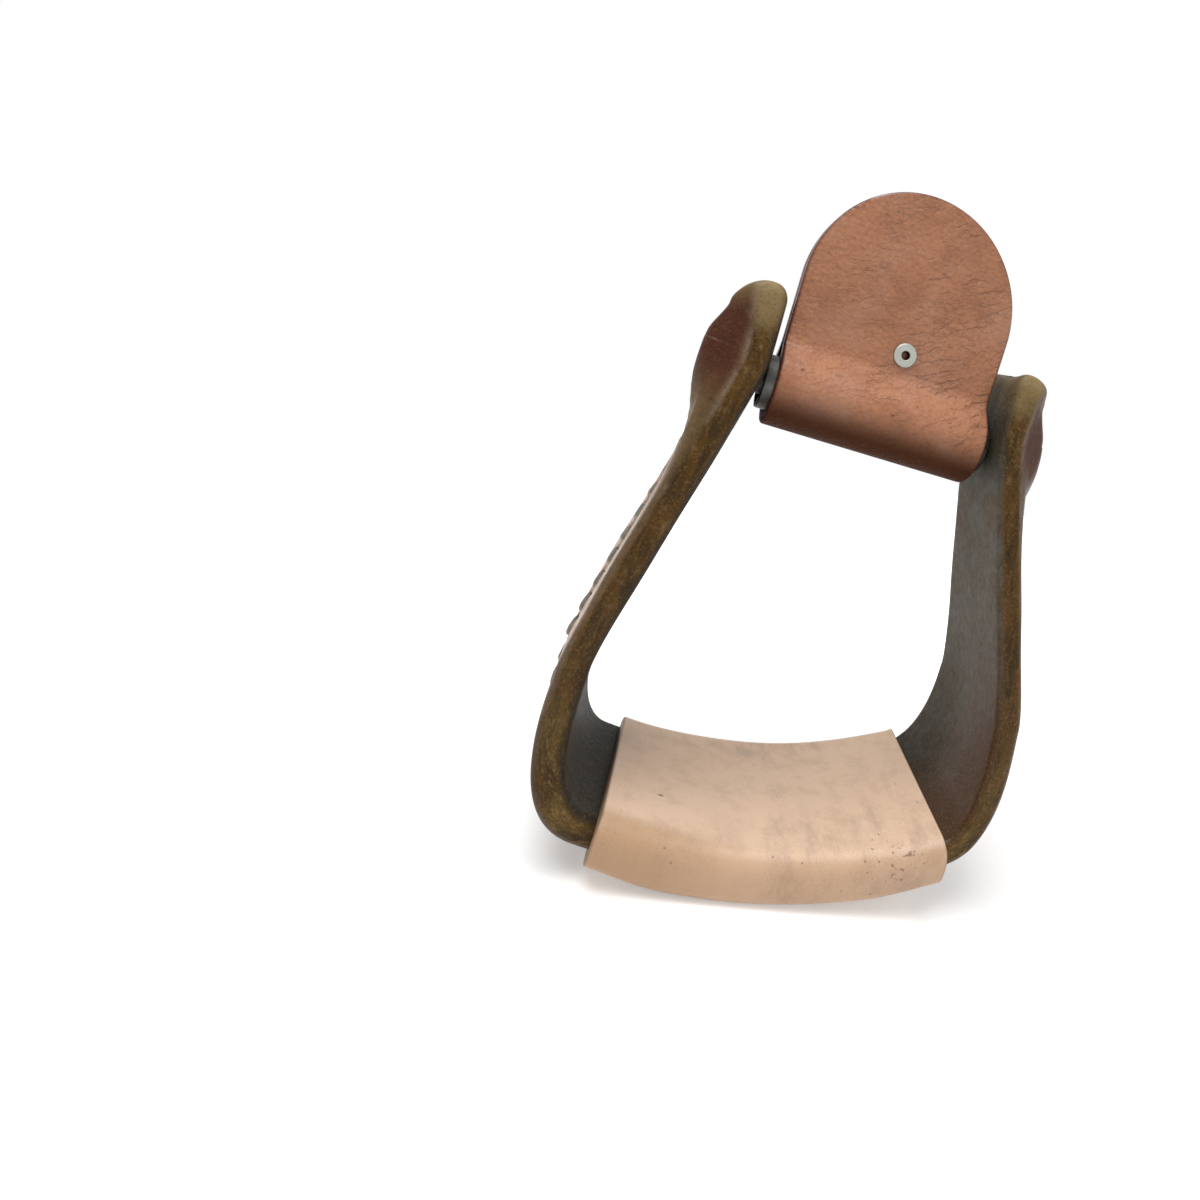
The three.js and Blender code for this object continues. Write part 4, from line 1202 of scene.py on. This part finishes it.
    def worn(self, tone):
        """Flecks, pale and dark grain and mottling, the dirt and painted shade beside the seam, the rims of
        its holes, and painted shade down in the slit and holes.
        """
        colours = self.colours
        flecks = self.between(self.spots(self.spot, 260), 0.13, 0.05) * self.between(self.patch, 0.5, 0.6)
        tone = self.blend(flecks * 0.55, tone, colours.hide_soil_and_shade)
        pale = self.between(self.grain, 0.55, 0.7) * (0.3 - self.outer * 0.15)
        tone = self.blend(pale, tone, colours.hide_fibre)
        tone = self.blend(self.between(self.grain, 0.45, 0.3) * 0.45, tone, colours.hide_soil_and_shade)
        tone = self.blend(self.between(self.mottle, 0.3, 0.75) * 0.28, tone, colours.hide_dark_and_shade, "MULTIPLY")
        # Darker beside the seam: dirt and painted shade
        tone = self.blend(self.mask("soil") * 0.45, tone, colours.hide_dark_and_shade)
        tone = self.blend(self.mask("rim") * 0.65, tone, colours.hide_rim)
        # Painted shade down in the slit and the lace holes
        return self.blend(self.between(self.mask("hole"), 0.15, 0.75), tone, colours.hide_soil_and_shade)


def varnished_hide(colours):
    """Rawhide under old varnish: orange-brown outside, olive with pale fibres at its edges, a painted grey
    sheen inside.
    """
    hide = Hide(colours)
    tone = hide.blend(hide.outer, hide.long_edges(), hide.outer_face())
    tone = hide.worn(hide.leg_tops(hide.blend(hide.inner, tone, hide.inner_face())))
    rough = 0.24 + hide.mottle * 0.2 + hide.mask("soil") * 0.12
    rough = rough + hide.inner * 0.2 * (1 - hide.foot * 0.8)
    folds = hide.patch * 0.8 + hide.fibres * 0.3 * (1 - hide.inner * 0.8)
    coarse = hide.bump(folds, 0.0011, 0.5)
    return hide.surface(
        Base_Color=tone,
        Roughness=rough,
        Normal=hide.bump(hide.mottle + hide.grain * 0.45, 0.0003, 0.7, coarse),
        Coat_Weight=0.08 - hide.inner * (0.08 - hide.foot * 0.16),
        Coat_Roughness=0.16,
        Specular_IOR_Level=0.1,
    )


def greasy_thong(colours):
    """Suede thong: dark in greasy patches, with painted shade along its upper edge, worn pale along its
    lower edge, and painted shade where it goes down into its holes.
    """
    thong = Finish("greasy_thong")
    place = thong.coordinates()
    edge = thong.mask("edge")
    nap = thong.noise(place, 900, 4, 0.65)
    patch = thong.noise(place, 120, 3, 0.6)
    worn = thong.between(nap * 0.6 + patch * 0.4, 0.35, 0.65)
    tone = thong.blend(worn, colours.thong_dark, colours.thong)
    tone = thong.blend(thong.between(edge, 0.45, 0.98) * 0.75, tone, colours.thong_edge)
    # Painted shade along each strand's upper edge
    tone = thong.blend(thong.between(edge, -0.35, -0.98) * 0.6, tone, colours.thong_dark)
    # Painted shade where a strand goes down into its hole
    tone = thong.blend(1 - thong.mask("shown"), tone, colours.hide_soil_and_shade)
    return thong.surface(Base_Color=tone, Roughness=0.62 + nap * 0.25, Normal=thong.bump(nap, 0.00025, 0.7))


def tan_leather(colours):
    """Pale vegetable-tanned leather with smudges, painted shade on its front fold, handled patches, pores,
    dark specks and one long mark.
    """
    tan = Finish("tan_leather")
    place = tan.coordinates()
    across, ahead = tan.part(place, "X"), tan.part(place, "Y")
    cloud = tan.noise(place, 30, 4, 0.6, 0.4)
    pores = tan.noise(place, 1900, 3, 0.7)
    grain = tan.noise(place, 800, 4, 0.6)
    smudge = tan.between(tan.noise(tan.stretched(place, (120, 60, 60)), 1.0, 5, 0.66), 0.44, 0.68)
    smudge = smudge * tan.between(tan.noise(place, 20, 2), 0.4, 0.62)
    tone = tan.blend(smudge * 0.45, colours.tread, colours.tread_smudge)
    # Painted shade on the cover's front face, darker still towards the left end of the front fold
    tone = tan.blend(tan.between(ahead, -0.0375, -0.0405) * 0.5, tone, colours.tread_front_shade_and_handling)
    left_fold = tan.between(ahead, -0.03, -0.038) * tan.between(across, 0.0, -0.045)
    tone = tan.blend(left_fold * 0.7, tone, colours.tread_front_shade_and_handling)
    tone = tan.blend(tan.between(cloud, 0.55, 0.75) * 0.25, tone, colours.tread_smudge)
    handled = tan.between(tan.noise(place, 130, 6, 0.66), 0.45, 0.68)
    tone = tan.blend(handled * 0.24, tone, colours.tread_front_shade_and_handling)
    pitted = tan.between(pores, 0.46, 0.7) * tan.between(cloud, 0.35, 0.65)
    tone = tan.blend(pitted * 0.24, tone, colours.tread_speck)
    speck = tan.between(tan.spots(place, 210), 0.1, 0.04) * tan.between(cloud, 0.5, 0.56)
    tone = tan.blend(speck * 0.7, tone, colours.tread_speck)
    cluster = tan.near(place, (0.0416, -0.0415, 0.0224), 0.004, 0.026)
    cluster = tan.between(tan.noise(place, 420, 3, 0.6) + cluster * 0.1, 0.71, 0.77) * cluster
    mark = tan.near(tan.stretched(place, (0.7, 1, 0.1)), (-0.026, -0.015, 0.002), 0.0003, 0.001)
    tone = tan.blend(cluster * 0.75 + mark * 0.8, tone, colours.tread_speck)
    tone = tan.blend(tan.mask("edge") * 0.85, tone, colours.tread_cut)
    tone = tan.blend(tan.mask("inside") * 0.5, tone, colours.tread_cut)
    fine = tan.bump(grain * 0.2 + pores * 0.5, 0.00018, 0.45)
    return tan.surface(Base_Color=tone, Roughness=0.4 + grain * 0.16, Normal=fine)


def russet_creases(russet, place, lie):
    """Two sorts of fine crease in the tab: wavy lines that rise to the right, and a net of short ones."""
    where = russet.noise(place, 45, 3, 0.6) + russet.part(place, "X") * 4
    waves = {"Vector": russet.stretched(lie, (0.55, 1, 1), 0.55), "Scale": 80, "Distortion": 9}
    waves = waves | {"Detail": 4, "Detail Scale": 1.3}
    line = russet.between(russet.node("ShaderNodeTexWave", {"bands_direction": "Y"}, waves), 0.86, 1.0)
    line = line * russet.between(where, 0.42, 0.62)
    line = line * russet.between(russet.noise(place, 130, 3), 0.45, 0.56)
    net = russet.noise(russet.stretched(lie, (110, 330, 1), 0.3), 1.0, 3, 0.55, 0.4)
    net = russet.crease(net, 0.028) * russet.between(where, 0.2, 0.45)
    return line, net * russet.between(russet.noise(place, 90, 2), 0.48, 0.6)


def russet_leather(colours):
    """Waxed russet harness leather: pebbled and creased, dark along its edges, with painted shade on the
    roll round the tube.
    """
    russet = Finish("russet_leather")
    place = russet.coordinates()
    height = russet.part(place, "Z")
    cloud = russet.noise(place, 75, 5, 0.62, 0.4)
    pebble = russet.spots(place, 620)
    grain = russet.noise(place, 620, 5, 0.68)
    line, net = russet_creases(russet, place, russet.coordinates("UV"))
    tone = russet.blend(russet.between(cloud, 0.4, 0.7) * 0.75, colours.russet, colours.russet_dark)
    tone = russet.blend(russet.between(grain, 0.42, 0.66) * 0.5, tone, colours.russet_dark)
    dark_grain = russet.between(grain, 0.62, 0.72) * russet.between(cloud, 0.4, 0.6)
    tone = russet.blend(dark_grain * 0.6, tone, colours.russet_crease)
    tone = russet.blend(line * 0.26 + net * 0.16, tone, colours.russet_crease)
    spots = russet.between(russet.spots(place, 150), 0.16, 0.06) * russet.between(height, 0.19, 0.175)
    tone = russet.blend(spots * russet.between(cloud, 0.45, 0.55) * 0.7, tone, colours.russet_edge)
    # Painted shade on the underside of the roll round the tube
    under = russet.between(height, 0.17, 0.156)
    tone = russet.blend(under, tone, colours.russet_roll_shade)
    tone = russet.blend(russet.mask("near_rivet") * 0.35, tone, colours.russet_crease)
    tone = russet.blend(russet.mask("edge") * 0.95, tone, colours.russet_edge)
    coarse = russet.bump(1 - line * 0.6 - net * 0.4 + cloud * 0.5, 0.0009, 0.7)
    wax = 0.15 + russet.between(russet.noise(place, 48, 4, 0.6), 0.45, 0.62) * 0.6
    return russet.surface(
        Base_Color=tone,
        Roughness=0.28 + grain * 0.18 + under * 0.35,
        Normal=russet.bump(pebble * 0.8 + grain * 0.6, 0.0005, 0.8, coarse),
        Coat_Weight=wax * (1 - under),
        Coat_Roughness=0.18,
        Specular_IOR_Level=0.15,
    )


def galvanised_steel(colours):
    """Dull zinc: spangled, with faint dark blotches."""
    steel = Finish("galvanised_steel")
    place = steel.coordinates()
    spangle = steel.spots(place, 330)
    blotch = steel.noise(place, 160, 4, 0.6)
    tone = steel.blend(steel.between(blotch, 0.5, 0.75) * 0.6, colours.steel, colours.hide_soil_and_shade)
    rough = 0.32 + spangle * 0.2 + blotch * 0.12
    fine = steel.bump(blotch, 0.0002, 0.3)
    return steel.surface(Base_Color=tone, Metallic=1.0, Roughness=rough, Normal=fine)


def worn_aluminium(colours, centre):
    """Bright rivet metal with fine scuffs, and painted shade inside its hole."""
    metal = Finish("worn_aluminium")
    place = metal.coordinates()
    scuff = metal.noise(metal.stretched(place, (900, 900, 2600)), 1.0, 3, 0.6)
    tone = metal.blend(metal.between(scuff, 0.55, 0.8) * 0.35, colours.aluminium, colours.steel)
    offset = metal.vector_math("SUBTRACT", {0: place, 1: centre})
    offset = metal.vector_math("MULTIPLY", {0: offset, 1: (1, 0, 1)})
    from_axis = metal.vector_math("LENGTH", {0: offset}, "Value")
    # Painted shade inside the rivet's hole
    tone = metal.blend(metal.between(from_axis, 0.0017, 0.0015), tone, colours.hide_soil_and_shade)
    fine = metal.bump(scuff, 0.00008, 0.4)
    return metal.surface(Base_Color=tone, Metallic=0.6, Roughness=0.36 + scuff * 0.25, Normal=fine)


def bent_wood(colours):
    """Bent hardwood: rings stretched along the bow."""
    wood = Finish("bent_wood")
    place = wood.coordinates()
    rings = wood.noise(wood.stretched(place, (260, 900, 60)), 1.0, 4, 0.6, 0.8)
    tone = wood.blend(wood.between(rings, 0.4, 0.62), colours.wood, colours.wood_dark)
    fine = wood.bump(rings, 0.0002, 0.3)
    return wood.surface(Base_Color=tone, Roughness=0.55 + rings * 0.15, Normal=fine)


def white_backdrop():
    """A pale floor that keeps the shadow, and glows white to the camera and in reflections."""
    floor = Finish("white_backdrop")
    away = floor.vector_math("LENGTH", {0: floor.coordinates()}, "Value")
    glow = floor.seen() * (0.32 + 0.7 * floor.between(away, 0.14, 0.4))
    return floor.surface(
        Base_Color=(0.9, 0.9, 0.9, 1),
        Roughness=0.9,
        Specular_IOR_Level=0.1,
        Emission_Color=floor.blend(glow, (0, 0, 0), (1, 1, 1)),
        Emission_Strength=1.02,
    )


def aimed(place, target):
    """The turn that points a lamp at its target."""
    direction = np.array(target) - np.array(place)
    flat = np.hypot(direction[0], direction[1])
    return Euler((np.arctan2(flat, -direction[2]), 0, np.arctan2(-direction[0], direction[1])))


class STIRRUP_OT_stage(Operator):
    """Camera, soft lamps, pale surroundings and a white floor"""

    bl_idname = "stirrup.stage"
    bl_label = "Stage"

    def execute(self, context):
        scene = context.scene
        stage = scene.stirrup_stage
        camera = bpy.data.cameras.new("camera")
        camera.lens = stage.camera_lens
        camera.sensor_width = 36
        camera.shift_x, camera.shift_y = stage.camera_shift
        camera.clip_start = 0.01
        viewer = bpy.data.objects.new("camera", camera)
        viewer.location = stage.camera_place
        viewer.rotation_euler = Euler(stage.camera_turn)
        scene.collection.objects.link(viewer)
        scene.camera = viewer
        lamps = (
            ("key_lamp", stage.key_power, 0.7, (-0.3, -0.24, 1.05)),
            ("fill_lamp", stage.fill_power, 0.7, (0.75, -0.35, 0.45)),
        )
        for name, power, width, place in lamps:
            lamp = bpy.data.lights.new(name, "AREA")
            lamp.energy = power
            lamp.size = width
            holder = bpy.data.objects.new(name, lamp)
            holder.location = place
            holder.rotation_euler = aimed(place, (0, 0, 0.1))
            scene.collection.objects.link(holder)
        world = bpy.data.worlds.new("surroundings")
        scene.world = world
        sky = Nodes(world)
        glow = stage.sky_level + (1 - stage.sky_level) * sky.seen()
        light = sky.node("ShaderNodeBackground", {}, {"Color": (1, 1, 1, 1), "Strength": glow})
        sky.node("ShaderNodeOutputWorld", {}, {"Surface": light})
        self.add_floor(scene)
        scene.view_settings.view_transform = "Standard"
        return {"FINISHED"}

    def add_floor(self, scene):
        mesh = bpy.data.meshes.new("floor")
        reach = 2.5
        corners = [(-reach, -reach, 0), (reach, -reach, 0), (reach, reach, 0), (-reach, reach, 0)]
        mesh.from_pydata(corners, [], [(0, 1, 2, 3)])
        mesh.materials.append(white_backdrop())
        floor = bpy.data.objects.new("floor", mesh)
        scene.collection.objects.link(floor)


class STIRRUP_PT_panel(Panel):
    """Sizes, colours and makers of the stirrup"""

    bl_label = "Roper stirrup"
    bl_space_type = "VIEW_3D"
    bl_region_type = "UI"
    bl_category = "Stirrup"

    def draw(self, context):
        for maker in MAKERS:
            self.layout.operator(maker.bl_idname)
        for holder in GROUPS:
            group = getattr(context.scene, holder)
            box = self.layout.box()
            for name in group.__annotations__:
                box.prop(group, name)


MAKERS = (
    STIRRUP_OT_rawhide,
    STIRRUP_OT_lacing,
    STIRRUP_OT_tread_cover,
    STIRRUP_OT_ties,
    STIRRUP_OT_roller_leather,
    STIRRUP_OT_roller_metal,
    STIRRUP_OT_hidden_parts,
    STIRRUP_OT_stage,
)
GROUPS = {"stirrup_sizes": StirrupSizes, "stirrup_colours": StirrupColours, "stirrup_stage": StirrupStage}


def register():
    for kind in (*GROUPS.values(), *MAKERS, STIRRUP_PT_panel):
        bpy.utils.register_class(kind)
    for name, group in GROUPS.items():
        setattr(bpy.types.Scene, name, PointerProperty(type=group))


def unregister():
    for name in GROUPS:
        delattr(bpy.types.Scene, name)
    for kind in (STIRRUP_PT_panel, *reversed(MAKERS), *GROUPS.values()):
        bpy.utils.unregister_class(kind)


def main():
    register()
    for maker in MAKERS:
        group, name = maker.bl_idname.split(".")
        getattr(getattr(bpy.ops, group), name)()


if __name__ == "__main__":
    main()
